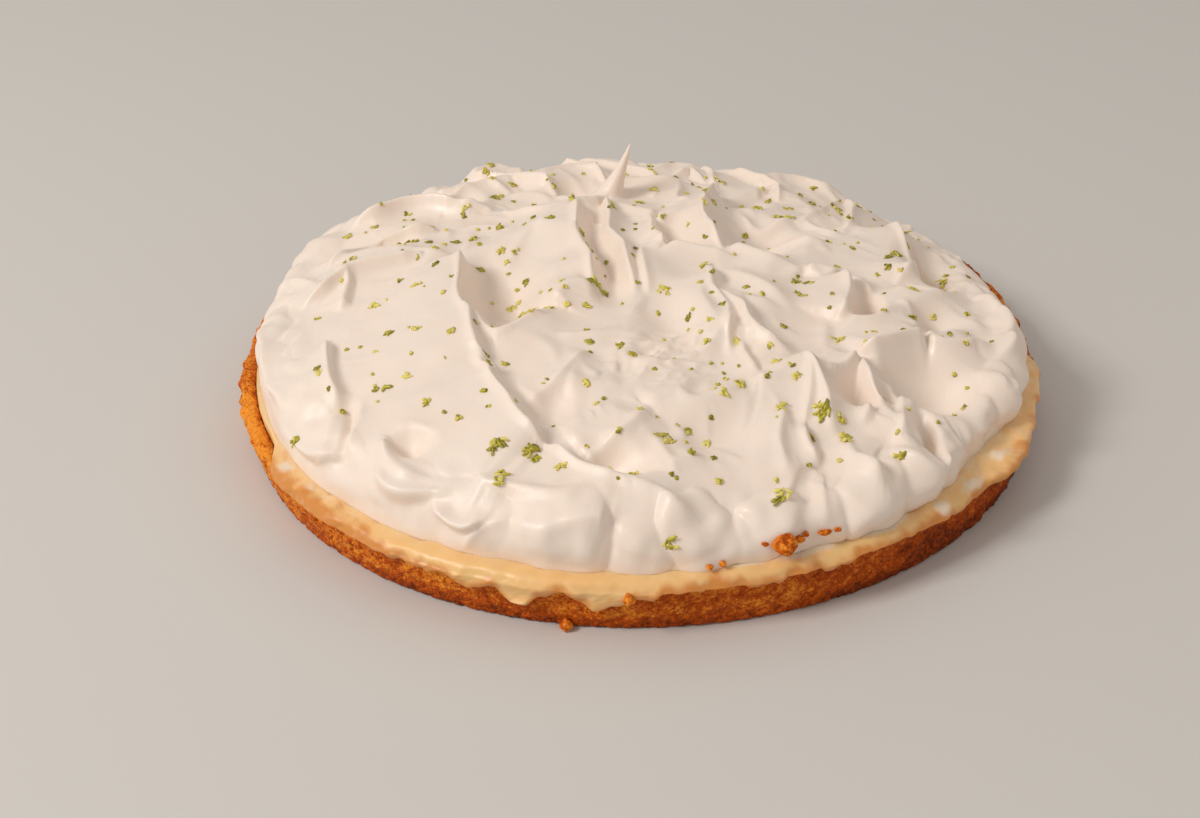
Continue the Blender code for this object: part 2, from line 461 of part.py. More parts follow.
def meringue_points(cells, foot):
    """The points of the meringue's outside on a grid of cells, from its top down to its foot."""
    share, angle = cap_plan(cells)
    shoulder_at = foot_radius(angle) - SHOULDER
    plan = shoulder_at * np.minimum(share / (1.0 - WALL_SHARE), 1.0)
    down = WALL_LENGTH * np.clip((share - 1.0 + WALL_SHARE) / WALL_SHARE, 0.0, 1.0)
    turn = (1.0 - down / WALL_LENGTH) * math.pi / 2
    cos, sin = np.cos(np.radians(angle)), np.sin(np.radians(angle))
    relief, shift_x, shift_y = top_relief((plan + down) * cos, (plan + down) * sin)
    out = plan + SHOULDER * np.cos(turn)
    mound = mound_height(out * cos, out * sin)
    # the wall's share of the relief stands out level, and both die away above the foot
    kept = step(0.0, 7.0, WALL_LENGTH - down)
    held = 0.5 * spill_share(angle)
    low = held + (1.0 - held) * step(0.0, 9.0, WALL_LENGTH - down)
    belly = 3.2 * bump(angle_gap(angle, 160) / 38) * bump((down - 12) / 14)
    wide = puff_bulge(angle, down + plan - shoulder_at) + belly
    out += relief * kept * np.cos(turn) + wide * np.cos(turn * 0.6) * low
    z = foot + (mound - foot + relief * kept) * np.sin(turn) + 0.8 * wide * np.sin(turn * 0.6) * kept
    fullness = np.sin(turn)
    x, y = out * cos + shift_x * fullness, out * sin + shift_y * fullness
    return x, y, np.maximum(z, foot)


# The crust

def crust_radius(angle, height):
    """The crust's outer radius at an angle in degrees and a height."""
    spread = CRUST_LEFT_SPREAD * (0.5 - 0.5 * np.cos(np.radians(angle)))
    return CRUST_FOOT_RADIUS + (spread + CRUST_FLARE) * np.clip(height / RIM_HEIGHT_LEFT, 0.0, 1.0)


def rim_height(angle):
    """The height of the crust's rim: broken low along the front, highest at the left and the back."""
    inside = np.abs(angle_gap(angle, (SPILL_FIRST + SPILL_LAST) / 2))
    standing = step(3.0, 14.0, inside - (SPILL_LAST - SPILL_FIRST) / 2)
    height = RIM_HEIGHT_FRONT + (RIM_HEIGHT_LEFT - RIM_HEIGHT_FRONT) * standing
    uneven = 0.5 * waves(angle, angle * 0, 21, 61) + 0.35 * waves(angle, angle * 0, 8, 62)
    height += 0.8 * bump(angle_gap(angle, -63) / 14)
    return height + uneven * (0.25 + 0.75 * standing) - 1.6 * bump(angle_gap(angle, 178) / 5)


def spill_share(angle):
    """1 where the cream has run over the rim, 0 where it lies inside."""
    inside = angle_gap(angle, (SPILL_FIRST + SPILL_LAST) / 2)
    half = (SPILL_LAST - SPILL_FIRST) / 2
    return 1.0 - step(half - 8.0, half + 6.0, np.abs(inside))


def bare(angle):
    """1 where the crust's rim stands bare, 0 where cream covers it."""
    return 1.0 - spill_share(angle)


def crumb_relief(angle, height, grain):
    """The rough surface of pressed crumbs."""
    around = np.radians(angle) * CRUST_FOOT_RADIUS
    return grain * (0.6 * waves(around, height, 9, 41) + 0.4 * waves(around, height, 4.5, 42))


def crust_section(angle):
    """The crust's section at each angle, from the middle of its underside to the middle of its floor."""
    top = rim_height(angle)
    rim_out = crust_radius(angle, top)
    rim_in = rim_out - RIM_THICKNESS
    points = [(90.0, 0.0), (crust_radius(angle, 0.0) - 0.8, 0.0)]
    covered = spill_share(angle)
    for share in (0.05, 0.24, 0.46, 0.68, 0.87):
        z = top * share
        hidden = covered * step(0.5, 0.75, share)
        grain = 0.75 * (1.0 - hidden) * (0.5 if share == 0.05 else 1.0)
        points.append((crust_radius(angle, z) + crumb_relief(angle, z, grain) - 0.25 * covered, z))
    rough = 0.45 * bare(angle)
    edge_r, edge_z = crumb_relief(angle, top, rough), crumb_relief(angle + 40, top, rough)
    points.append((rim_out - 1.4 + edge_r, top + edge_z))
    points.append((rim_in + 1.4, top + crumb_relief(angle + 90, top, rough) - 0.2))
    points.append((rim_in, top - 1.6))
    points.append((rim_in - 1.2, CRUST_FLOOR + 2.4))
    points.append((rim_in - 3.6, CRUST_FLOOR))
    return points


# The cream

def cream_edge(angle):
    """The height of the cream's lower edge on the crust's outside."""
    edge = CREAM_EDGE + 0.5 * waves(angle, angle * 0, 11, 71)
    for drip in DRIPS:
        edge = edge - drip.reach * bump(angle_gap(angle, drip.angle) / (1.35 * drip.half_width))
    return np.maximum(edge, 4.6)


def flap_share(angle):
    """1 where the cream stands straight out over the rim."""
    half = (FLAP_LAST - FLAP_FIRST) / 2
    inside = np.abs(angle_gap(angle, (FLAP_FIRST + FLAP_LAST) / 2))
    return 1.0 - step(half - 4.0, half + 1.0, inside)


def cream_section(angle):
    """The cream's section at each angle, from the middle of its underside, out to its tip and back on top."""
    top = rim_height(angle)
    rim_out = crust_radius(angle, top)
    rim_in = rim_out - RIM_THICKNESS
    flap = flap_share(angle)
    spill = spill_share(angle)
    clear = 0.55 + 2.4 * spill * (1.0 - spill)
    lip = np.minimum(top - 2.0, CREAM_LEVEL - 2.2)
    # the way the underside takes: up the rim's inside, over its top, down its outside
    way = [
        (rim_in - clear, lip),
        (rim_in - clear, np.maximum(top - 1.4, lip + 0.2)),
        (rim_in + 1.4 - clear, top + clear),
        (rim_out - 1.2 + clear, top + clear),
        (rim_out + 0.2 + clear, top - 1.0 + 1.2 * flap),
    ]
    reach = FLAP_REACH + FLAP_TIP.reach * bump(angle_gap(angle, FLAP_TIP.angle) / (1.3 * FLAP_TIP.half_width))
    drop = np.maximum(top - 1.0 - cream_edge(angle), 0.6)
    end_down = (crust_radius(angle, cream_edge(angle)) + 0.2 + clear, top - 1.0 - drop)
    end_out = (rim_out + clear + reach, top + clear - 0.9)
    way.append(tuple(a + (b - a) * flap for a, b in zip(end_down, end_out)))
    lengths = [np.zeros_like(angle)]
    for (r0, z0), (r1, z1) in zip(way[:-1], way[1:]):
        lengths.append(lengths[-1] + np.hypot(r1 - r0, z1 - z0))
    whole = lengths[-1] * spill + 1.1 * (1.0 - spill)
    count = 5
    under, over = [], []
    for k in range(count + 1):
        s = whole * (k / count)
        r, z = way[0][0].copy(), way[0][1].copy()
        for i in range(len(way) - 1):
            t = np.clip((s - lengths[i]) / (lengths[i + 1] - lengths[i]), 0.0, 1.0)
            r += t * (way[i + 1][0] - way[i][0])
            z += t * (way[i + 1][1] - way[i][1])
        outside = step(-1.6, 1.6, r - rim_out) * (1.0 - flap)
        skin = CREAM_SKIN + 0.3 * waves(angle, s, 15, 73)
        level = CREAM_LEVEL - z
        thick = level * (1.0 - outside) + skin * outside
        thick = np.where(flap > 0.5, np.maximum(thick, FLAP_THICKNESS * flap * step(0, 3, r - rim_in)), thick)
        thick = np.minimum(thick, CREAM_LEVEL - z + 0.0 * thick)
        thick = np.maximum(thick, 0.5) * np.sqrt(np.clip(1.0 - (k / count) ** 4 * 0.9, 0.1, 1.0))
        lean = outside * math.pi / 2
        under.append((r, z))
        over.append((r + thick * np.sin(lean), z + thick * np.cos(lean)))
    floor = CRUST_FLOOR + NODE_GAP
    corner = rim_in - 3.6 - NODE_GAP
    points = [(corner, floor), (rim_in - 1.2 - NODE_GAP, CRUST_FLOOR + 2.4 + 0.6 * NODE_GAP)]
    points += under
    points += over[::-1]
    points.append((rim_in - 5.0, CREAM_LEVEL))
    return points


# Making the solids

def new_object(name, mesh, material):
    obj = bpy.data.objects.new(name, mesh)
    mesh.materials.append(material)
    bpy.context.scene.collection.objects.link(obj)
    return obj


def plain_material(name, colour, roughness):
    material = bpy.data.materials.new(name)
    material.use_nodes = True
    shader = material.node_tree.nodes["Principled BSDF"]
    shader.inputs["Base Color"].default_value = (*colour, 1.0)
    shader.inputs["Roughness"].default_value = roughness
    shader.inputs["Metallic"].default_value = 0.0
    return material


def apply_modifiers(obj):
    """Gives obj the mesh that its modifiers make of it."""
    graph = bpy.context.evaluated_depsgraph_get()
    made = bpy.data.meshes.new_from_object(obj.evaluated_get(graph), depsgraph=graph)
    obj.modifiers.clear()
    obj.data = made


def ring_solid(name, steps, section, bottom, top, material):
    """A closed solid swept round the Z axis through a section that changes with the angle."""
    angle = np.arange(steps) * 360.0 / steps
    loops = [(r + 0.0 * angle, z + 0.0 * angle) for r, z in section(angle)]
    bm = bmesh.new()
    cos, sin = np.cos(np.radians(angle)), np.sin(np.radians(angle))
    rings = [
        [bm.verts.new((r[i] * cos[i] * MM, r[i] * sin[i] * MM, z[i] * MM)) for i in range(steps)]
        for r, z in loops
    ]
    for low, high in zip(rings[:-1], rings[1:]):
        for i in range(steps):
            j = (i + 1) % steps
            bm.faces.new((low[i], low[j], high[j], high[i]))
    for ring, height in ((rings[0], bottom), (rings[-1], top)):
        middle = bm.verts.new((0, 0, height * MM))
        for i in range(steps):
            bm.faces.new((ring[i], ring[(i + 1) % steps], middle))
    bmesh.ops.recalc_face_normals(bm, faces=bm.faces)
    bmesh.ops.triangulate(bm, faces=bm.faces)
    for face in bm.faces:
        face.smooth = True
    mesh = bpy.data.meshes.new(name)
    bm.to_mesh(mesh)
    bm.free()
    return new_object(name, mesh, material)


def build_meringue(material):
    """The meringue as one solid on a flat base just above the cream, thinned out where it is smooth."""
    foot = CREAM_LEVEL + NODE_GAP
    x, y, z = meringue_points(CAP_CELLS, foot)
    bm = bmesh.new()
    rows = [
        [bm.verts.new((x[i, j] * MM, y[i, j] * MM, z[i, j] * MM)) for j in range(CAP_CELLS + 1)]
        for i in range(CAP_CELLS + 1)
    ]
    for i in range(CAP_CELLS):
        for j in range(CAP_CELLS):
            bm.faces.new((rows[i][j], rows[i][j + 1], rows[i + 1][j + 1], rows[i + 1][j]))
    border = [e for e in bm.edges if e.is_boundary]
    bmesh.ops.contextual_create(bm, geom=border)
    bmesh.ops.recalc_face_normals(bm, faces=bm.faces)
    bmesh.ops.triangulate(bm, faces=bm.faces)
    mesh = bpy.data.meshes.new("meringue")
    bm.to_mesh(mesh)
    count = len(bm.faces)
    bm.free()
    obj = new_object("meringue", mesh, material)
    thin = obj.modifiers.new("thin out", "DECIMATE")
    thin.ratio = MERINGUE_TRIANGLES / count
    apply_modifiers(obj)
    for face in obj.data.polygons:
        face.use_smooth = True
    return obj


def zest_places():
    """Each flake of zest: its place in the plan, its length and its heading. The largest come first."""
    draw = np.random.default_rng(77)
    for patch in ZEST_PATCHES:
        for _ in range(patch.count):
            away, turn = patch.radius * math.sqrt(draw.uniform(0, 1)), draw.uniform(0, 2 * math.pi)
            place = (patch.centre[0] + away * math.cos(turn), patch.centre[1] + away * math.sin(turn))
            yield place, patch.length * draw.uniform(0.8, 1.15), draw.uniform(0, math.pi)
    for _ in range(ZEST_STREWN):
        away, turn = 112 * math.sqrt(draw.uniform(0, 1)), draw.uniform(0, 2 * math.pi)
        length = 1.1 + 2.3 * draw.uniform(0, 1) ** 1.5
        yield (away * math.cos(turn), away * math.sin(turn)), length, draw.uniform(0, math.pi)


def flake_mesh(length, place, normal, heading, seed):
    """A curl of zest: a short flat strip, bent, its middle sunk into the meringue and its ends up."""
    draw = np.random.default_rng(seed)
    width, thickness = length * draw.uniform(0.34, 0.5), 0.75
    bend, twist = draw.uniform(0.5, 1.5), draw.uniform(-0.5, 0.5)
    along = Vector((math.cos(heading), math.sin(heading), 0.0))
    across = normal.cross(along).normalized()
    along = across.cross(normal).normalized()
    bm = bmesh.new()
    rings = []
    for k in range(4):
        t = k / 3 - 0.5
        middle = along * (t * length) + across * (1.4 * bend * t * t) + normal * (0.05 + 1.14 * bend * t * t)
        half = 0.5 * width * (1.0 - 1.1 * t * t)
        side = (across * math.cos(twist * t * 3) + normal * math.sin(twist * t * 3)) * half
        up = normal * (thickness / 2)
        corners = (side + up, up - side, -side - up, side - up)
        rings.append([bm.verts.new(place + middle + corner) for corner in corners])
    for a, b in zip(rings[:-1], rings[1:]):
        for i in range(4):
            j = (i + 1) % 4
            bm.faces.new((a[i], a[j], b[j], b[i]))
    bm.faces.new(rings[0][::-1])
    bm.faces.new(rings[-1])
    bmesh.ops.recalc_face_normals(bm, faces=bm.faces)
    bmesh.ops.triangulate(bm, faces=bm.faces)
    bmesh.ops.scale(bm, vec=(MM, MM, MM), verts=bm.verts)
    mesh = bpy.data.meshes.new("flake")
    bm.to_mesh(mesh)
    bm.free()
    return mesh


def crumb_mesh(radius, centre):
    """A fallen crumb, an uneven ball."""
    draw = np.random.default_rng(9)
    bm = bmesh.new()
    bmesh.ops.create_icosphere(bm, subdivisions=2, radius=radius)
    for vert in bm.verts:
        vert.co = (vert.co * draw.uniform(0.86, 1.1) + centre) * MM
    mesh = bpy.data.meshes.new("crumb")
    bm.to_mesh(mesh)
    bm.free()
    return mesh


def keep_largest(obj):
    """Drops what joining leaves besides the body itself: loose scraps, doubled faces, and the skins of sealed
    hollows."""
    bm = bmesh.new()
    bm.from_mesh(obj.data)
    left, pieces = set(bm.faces), []
    while left:
        open_ends = [left.pop()]
        piece = set(open_ends)
        while open_ends:
            for edge in open_ends.pop().edges:
                if len(edge.link_faces) == 2:
                    fresh = left.intersection(edge.link_faces)
                    left -= fresh
                    piece |= fresh
                    open_ends.extend(fresh)
        pieces.append(piece)
    body = max(pieces, key=len)
    bmesh.ops.delete(bm, geom=[f for f in bm.faces if f not in body], context="FACES")
    bm.to_mesh(obj.data)
    bm.free()


def fuse(obj, toppings):
    """Joins the toppings to obj in one union."""
    group = bpy.data.collections.new("toppings")
    bpy.context.scene.collection.children.link(group)
    for i, mesh in enumerate(toppings):
        group.objects.link(bpy.data.objects.new("topping %d" % i, mesh))
    union = obj.modifiers.new("toppings", "BOOLEAN")
    union.operation = "UNION"
    union.solver = "EXACT"
    union.operand_type = "COLLECTION"
    union.collection = group
    apply_modifiers(obj)
    keep_largest(obj)
    for topping in list(group.objects):
        bpy.data.objects.remove(topping)
    bpy.data.collections.remove(group)


def add_toppings(meringue):
    """The largest flakes of zest, and one crumb on the wall."""
    tree = BVHTree.FromPolygons(
        [v.co / MM for v in meringue.data.vertices], [tuple(p.vertices) for p in meringue.data.polygons]
    )
    toppings = []
    for i, ((x, y), length, heading) in enumerate(zest_places()):
        if i == ZEST_FUSED:
            break
        place, normal, _, _ = tree.ray_cast(Vector((x, y, 90.0)), Vector((0, 0, -1)))
        if place is None or place.z < CREAM_LEVEL + 6:      # out on the wall
            place, normal, _, _ = tree.find_nearest(Vector((x, y, CREAM_LEVEL + 9)))
        toppings.append(flake_mesh(length, place, normal, heading, i))
    angle, radius = CRUMB_ON_MERINGUE
    out = Vector((math.cos(math.radians(angle)), math.sin(math.radians(angle)), 0.0))
    place, _, _, _ = tree.ray_cast(out * 150 + Vector((0, 0, 23.5)), -out)
    toppings.append(crumb_mesh(radius, place - out * 0.6))
    fuse(meringue, toppings)


def main():
    for obj in list(bpy.data.objects):
        bpy.data.objects.remove(obj)
    crumb = plain_material("crumb crust", (0.50, 0.13, 0.014), 0.8)
    cream = plain_material("lemon cream", (0.86, 0.58, 0.27), 0.25)
    meringue = plain_material("meringue", (0.85, 0.76, 0.68), 0.45)
    ring_solid("crust", RING_STEPS, crust_section, 0.0, CRUST_FLOOR, crumb)
    ring_solid("lemon_cream", RING_STEPS, cream_section, CRUST_FLOOR + NODE_GAP, CREAM_LEVEL, cream)
    add_toppings(build_meringue(meringue))


main()
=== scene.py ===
import math
from collections import namedtuple

import bmesh
import bpy
import numpy as np
from mathutils import Matrix, Vector
from mathutils.bvhtree import BVHTree


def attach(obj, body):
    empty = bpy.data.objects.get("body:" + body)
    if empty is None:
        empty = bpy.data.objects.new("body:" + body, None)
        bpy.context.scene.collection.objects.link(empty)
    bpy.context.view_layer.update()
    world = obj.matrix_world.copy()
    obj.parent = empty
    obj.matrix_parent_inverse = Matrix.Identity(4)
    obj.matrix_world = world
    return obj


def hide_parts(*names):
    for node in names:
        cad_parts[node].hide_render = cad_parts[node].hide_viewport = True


# Lemon pie with a crumb crust, a lemon cream that has run over the rim, and a swept meringue with zest.
# The shapes follow the solids of the frame at a finer scale. Lengths are in millimetres unless a name
# or a comment says metres, and MM turns them into Blender's metres.
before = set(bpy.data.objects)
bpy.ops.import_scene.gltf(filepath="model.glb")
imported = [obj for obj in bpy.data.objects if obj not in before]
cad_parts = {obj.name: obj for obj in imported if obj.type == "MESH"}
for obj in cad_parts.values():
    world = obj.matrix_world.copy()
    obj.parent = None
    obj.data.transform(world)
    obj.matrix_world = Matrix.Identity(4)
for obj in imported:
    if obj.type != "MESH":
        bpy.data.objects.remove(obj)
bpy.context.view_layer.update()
MM = 0.001


# The crumb crust
# Biscuit crumbs pressed by hand into a flat floor and a low upright rim, then baked. Its outside is a
# coarse wall of single crumbs, darker where it browned, with painted shade darkening its foot and its right
# side and painted light brightening its left, and its rim is broken down along the front.
CRUST_FOOT_RADIUS = 125.6   # the outer radius where the crust stands
CRUST_FLARE = 0.7           # how far the wall leans out by the top of its rim
CRUST_LEFT_SPREAD = 3.0     # how much further out the rim stands on the left
CRUST_FLOOR = 5.0           # thickness of the floor
RIM_THICKNESS = 5.2
RIM_HEIGHT_FRONT = 16.2
RIM_HEIGHT_LEFT = 18.4
SPILL_FIRST, SPILL_LAST = -152.0, -6.0      # between these angles the cream has run over the rim
CRUST_STEPS = 2000          # mesh steps round the crust
CRUST_ROWS = 84             # mesh rows from its foot over the rim to the floor inside
COARSE_CRUMB, FINE_CRUMB = 2.3, 1.15        # spacing of the large and the small crumbs
COARSE_DEPTH, FINE_DEPTH = 0.75, 0.5        # how far they stand out
WALL_UNEVENNESS = 0.75      # how far the pressed wall itself goes in and out
SPILL_INSET = 0.25          # how much further in it stands under the cream that ran over
UNDERSIDE_RING = 90.0       # radius of the innermost mesh ring of its underside
CRUST_DARK = (0.17, 0.024, 0.001)
CRUST_MIDDLE = (0.52, 0.088, 0.003)
CRUST_LIGHT = (0.92, 0.33, 0.03)


def angle_gap(angle, centre):
    """The signed angle from centre to angle, in degrees, within half a turn."""
    return (angle - centre + 180.0) % 360.0 - 180.0


def bump(t):
    """1 at t = 0, falling smoothly to 0 at t = 1 either way."""
    t = np.clip(np.abs(t), 0.0, 1.0)
    return (1.0 - t * t) ** 2


def step(low, high, value):
    """0 below low, 1 above high, and smooth between."""
    t = np.clip((value - low) / (high - low), 0.0, 1.0)
    return t * t * (3.0 - 2.0 * t)


def waves(x, y, length, seed, count=7):
    """A smooth random relief between about -1 and 1 whose features are about length across."""
    draw = np.random.default_rng(seed)
    total = np.zeros(np.broadcast(x, y).shape)
    turns, phases = draw.uniform(0, 2 * math.pi, count), draw.uniform(0, 2 * math.pi, count)
    for turn, phase, stretch in zip(turns, phases, draw.uniform(0.7, 1.4, count)):
        k = 2 * math.pi / (length * stretch)
        total += np.sin(k * (x * math.cos(turn) + y * math.sin(turn)) + phase)
    return total / math.sqrt(count)


def cell_draws(i, j, k, seed):
    """Four random numbers between 0 and 1 for each cell of a grid in space."""
    mixed = (i * 73856093) ^ (j * 19349663) ^ (k * 83492791) ^ (seed * 2654435761)
    for _ in range(4):
        mixed = (mixed * 1103515245 + 12345) & 0x7FFFFFFF
        mixed ^= mixed >> 13
        yield (mixed & 0xFFFF) / 65535.0


def crumbs(points, spacing, seed):
    """Packed crumbs at each point: how high the nearest one stands there, 0 to 1, and that crumb's shade."""
    grid = np.floor(points / spacing).astype(np.int64)
    nearest = np.full(len(points), np.inf)
    shade = np.zeros(len(points))
    for di in (-1, 0, 1):
        for dj in (-1, 0, 1):
            for dk in (-1, 0, 1):
                cell = grid + (di, dj, dk)
                a, b, c, d = cell_draws(cell[:, 0], cell[:, 1], cell[:, 2], seed)
                centre = (cell + np.stack((a, b, c), -1)) * spacing
                away = np.linalg.norm(points - centre, axis=1) / (0.75 + 0.5 * d)
                closer = away < nearest
                nearest = np.where(closer, away, nearest)
                shade = np.where(closer, d * 0.5 + a * 0.5, shade)
    return np.clip(1.0 - (nearest / spacing) ** 2, 0.0, 1.0), shade


def crust_radius(angle, height):
    """The crust's outer radius at an angle in degrees and a height."""
    spread = CRUST_LEFT_SPREAD * (0.5 - 0.5 * np.cos(np.radians(angle)))
    return CRUST_FOOT_RADIUS + (spread + CRUST_FLARE) * np.clip(height / RIM_HEIGHT_LEFT, 0.0, 1.0)


def rim_height(angle):
    """The height of the crust's rim: broken low along the front, highest at the left and the back."""
    inside = np.abs(angle_gap(angle, (SPILL_FIRST + SPILL_LAST) / 2))
    standing = step(3.0, 14.0, inside - (SPILL_LAST - SPILL_FIRST) / 2)
    height = RIM_HEIGHT_FRONT + (RIM_HEIGHT_LEFT - RIM_HEIGHT_FRONT) * standing
    uneven = 0.5 * waves(angle, angle * 0, 21, 61) + 0.35 * waves(angle, angle * 0, 8, 62)
    height += 0.8 * bump(angle_gap(angle, -63) / 14)
    return height + uneven * (0.25 + 0.75 * standing) - 1.6 * bump(angle_gap(angle, 178) / 5)


def spill_share(angle):
    """1 where the cream has run over the rim, 0 where it lies inside."""
    inside = angle_gap(angle, (SPILL_FIRST + SPILL_LAST) / 2)
    half = (SPILL_LAST - SPILL_FIRST) / 2
    return 1.0 - step(half - 8.0, half + 6.0, np.abs(inside))


def crumb_relief(angle, height, grain):
    """The uneven surface of the pressed wall, apart from its single crumbs."""
    around = np.radians(angle) * CRUST_FOOT_RADIUS
    return grain * (0.6 * waves(around, height, 9, 41) + 0.4 * waves(around, height, 4.5, 42))


def along_way(way, share):
    """Points at the given shares of the length of a way through (radius, height) pairs, one way per angle."""
    lengths = [np.zeros_like(way[0][0])]
    for (r0, z0), (r1, z1) in zip(way[:-1], way[1:]):
        lengths.append(lengths[-1] + np.hypot(r1 - r0, z1 - z0))
    at = share * lengths[-1]
    r, z = way[0][0] + 0.0 * at, way[0][1] + 0.0 * at
    for i in range(len(way) - 1):
        t = np.clip((at - lengths[i]) / (lengths[i + 1] - lengths[i]), 0.0, 1.0)
        r += t * (way[i + 1][0] - way[i][0])
        z += t * (way[i + 1][1] - way[i][1])
    return r, z


def wheel_mesh(name, angle, r, z, bottom, top):
    """A closed mesh of rings round the Z axis, r and z holding a ring in each row, with a middle point
    below the first ring and one above the last."""
    rows, steps = r.shape
    co = np.empty((rows * steps + 2, 3))
    co[:-2, 0] = (r * np.cos(np.radians(angle))).ravel()
    co[:-2, 1] = (r * np.sin(np.radians(angle))).ravel()
    co[:-2, 2] = z.ravel()
    co[-2:] = ((0, 0, bottom), (0, 0, top))
    index = np.arange(rows * steps).reshape(rows, steps)
    after = np.roll(index, -1, axis=1)
    quads = np.stack([index[:-1], after[:-1], after[1:], index[1:]], -1).reshape(-1, 4)
    first = np.stack([after[0], index[0], np.full(steps, rows * steps)], -1)
    last = np.stack([index[-1], after[-1], np.full(steps, rows * steps + 1)], -1)
    mesh = bpy.data.meshes.new(name)
    mesh.from_pydata((co * MM).tolist(), [], quads.tolist() + first.tolist() + last.tolist())
    mesh.shade_smooth()
    return mesh


def push_out(mesh, amount):
    """Moves each vertex of the mesh by its amount, in millimetres, along its normal."""
    co, normal = np.empty(len(mesh.vertices) * 3), np.empty(len(mesh.vertices) * 3)
    mesh.vertices.foreach_get("co", co)
    mesh.vertex_normals.foreach_get("vector", normal)
    co += normal * np.repeat(amount * MM, 3)
    mesh.vertices.foreach_set("co", co)
    mesh.update()


def places(mesh):
    """The mesh's vertices in millimetres, as rows."""
    co = np.empty(len(mesh.vertices) * 3)
    mesh.vertices.foreach_get("co", co)
    return co.reshape(-1, 3) / MM


def paint(mesh, name, values):
    """Keeps one value per vertex in the mesh, for its material to read."""
    mesh.attributes.new(name, "FLOAT", "POINT").data.foreach_set("value", np.asarray(values, float))


def add_piece(name, mesh, material):
    """A piece of the pie with its mesh and material, moving with the pie."""
    piece = bpy.data.objects.new(name, mesh)
    mesh.materials.append(material)
    bpy.context.scene.collection.objects.link(piece)
    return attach(piece, "root")


def new_material(name, roughness):
    """A material, its nodes, its links and its Principled shader."""
    material = bpy.data.materials.new(name)
    material.use_nodes = True
    shader = material.node_tree.nodes["Principled BSDF"]
    shader.inputs["Roughness"].default_value = roughness
    return material, material.node_tree.nodes, material.node_tree.links, shader


def colour_steps(nodes, *stops):
    """A colour ramp node with stops of (position, colour)."""
    ramp = nodes.new("ShaderNodeValToRGB")
    while len(ramp.color_ramp.elements) < len(stops):
        ramp.color_ramp.elements.new(0.5)
    for element, (position, colour) in zip(ramp.color_ramp.elements, stops):
        element.position = position
        element.color = (*colour, 1.0)
    return ramp


def give_relief(nodes, links, shader, height, depth, strength=1.0):
    """Relief up to depth metres deep, too fine for the mesh to show."""
    relief = nodes.new("ShaderNodeBump")
    relief.inputs["Distance"].default_value = depth
    relief.inputs["Strength"].default_value = strength
    links.new(height, relief.inputs["Height"])
    links.new(relief.outputs["Normal"], shader.inputs["Normal"])


def let_light_in(shader, weight, reach, by_colour):
    """Lets light into the food, to come out about reach metres away, scaled for red, green and blue."""
    shader.inputs["Subsurface Weight"].default_value = weight
    shader.inputs["Subsurface Scale"].default_value = reach
    shader.inputs["Subsurface Radius"].default_value = by_colour


def crumb_grain_group():
    """Baked crumb: a tint and a height that change from grain to grain, finer than the mesh shows."""
    group = bpy.data.node_groups.new("crumb grain", "ShaderNodeTree")
    socket = group.interface.new_socket
    socket(name="Shade", in_out="INPUT", socket_type="NodeSocketFloat")
    socket(name="Browning_and_painted_light", in_out="INPUT", socket_type="NodeSocketFloat")
    socket(name="Grain per metre", in_out="INPUT", socket_type="NodeSocketFloat").default_value = 900.0
    socket(name="Colour", in_out="OUTPUT", socket_type="NodeSocketColor")
    socket(name="Height", in_out="OUTPUT", socket_type="NodeSocketFloat")
    socket(name="Roughness", in_out="OUTPUT", socket_type="NodeSocketFloat")
    nodes, links = group.nodes, group.links
    into, out = nodes.new("NodeGroupInput"), nodes.new("NodeGroupOutput")
    where = nodes.new("ShaderNodeTexCoord")
    cells = nodes.new("ShaderNodeTexVoronoi")
    links.new(where.outputs["Object"], cells.inputs["Vector"])
    links.new(into.outputs["Grain per metre"], cells.inputs["Scale"])
    cloud = nodes.new("ShaderNodeTexNoise")
    cloud.inputs["Scale"].default_value = 260.0
    cloud.inputs["Detail"].default_value = 6.0
    cloud.inputs["Roughness"].default_value = 0.65
    links.new(where.outputs["Object"], cloud.inputs["Vector"])
    # shade of the crumb, of its grains and of the cloudy browning, added up
    own = nodes.new("ShaderNodeSeparateColor")
    links.new(cells.outputs["Color"], own.inputs["Color"])
    grains = nodes.new("ShaderNodeMath")
    grains.operation = "MULTIPLY_ADD"
    grains.inputs[1].default_value = 0.33
    links.new(own.outputs["Red"], grains.inputs[0])
    links.new(into.outputs["Shade"], grains.inputs[2])
    clouded = nodes.new("ShaderNodeMath")
    clouded.operation = "MULTIPLY_ADD"
    clouded.inputs[1].default_value = 0.28
    links.new(cloud.outputs["Fac"], clouded.inputs[0])
    links.new(grains.outputs[0], clouded.inputs[2])
    # the mesh's baked tone is taken off, with its painted shade and painted light
    browned_and_lit = nodes.new("ShaderNodeMath")
    browned_and_lit.operation = "SUBTRACT"
    links.new(clouded.outputs[0], browned_and_lit.inputs[0])
    links.new(into.outputs["Browning_and_painted_light"], browned_and_lit.inputs[1])
    tint = colour_steps(nodes, (0.12, CRUST_DARK), (0.60, CRUST_MIDDLE), (0.96, CRUST_LIGHT))
    links.new(browned_and_lit.outputs[0], tint.inputs["Fac"])
    links.new(tint.outputs["Color"], out.inputs["Colour"])
    height = nodes.new("ShaderNodeMath")
    height.operation = "SUBTRACT"
    links.new(cloud.outputs["Fac"], height.inputs[0])
    links.new(cells.outputs["Distance"], height.inputs[1])
    links.new(height.outputs[0], out.inputs["Height"])
    gloss = nodes.new("ShaderNodeMapRange")
    gloss.inputs["To Min"].default_value = 0.72
    gloss.inputs["To Max"].default_value = 0.46
    links.new(own.outputs["Green"], gloss.inputs["Value"])
    links.new(gloss.outputs["Result"], out.inputs["Roughness"])
    return group


CRUMB_GRAIN = crumb_grain_group()


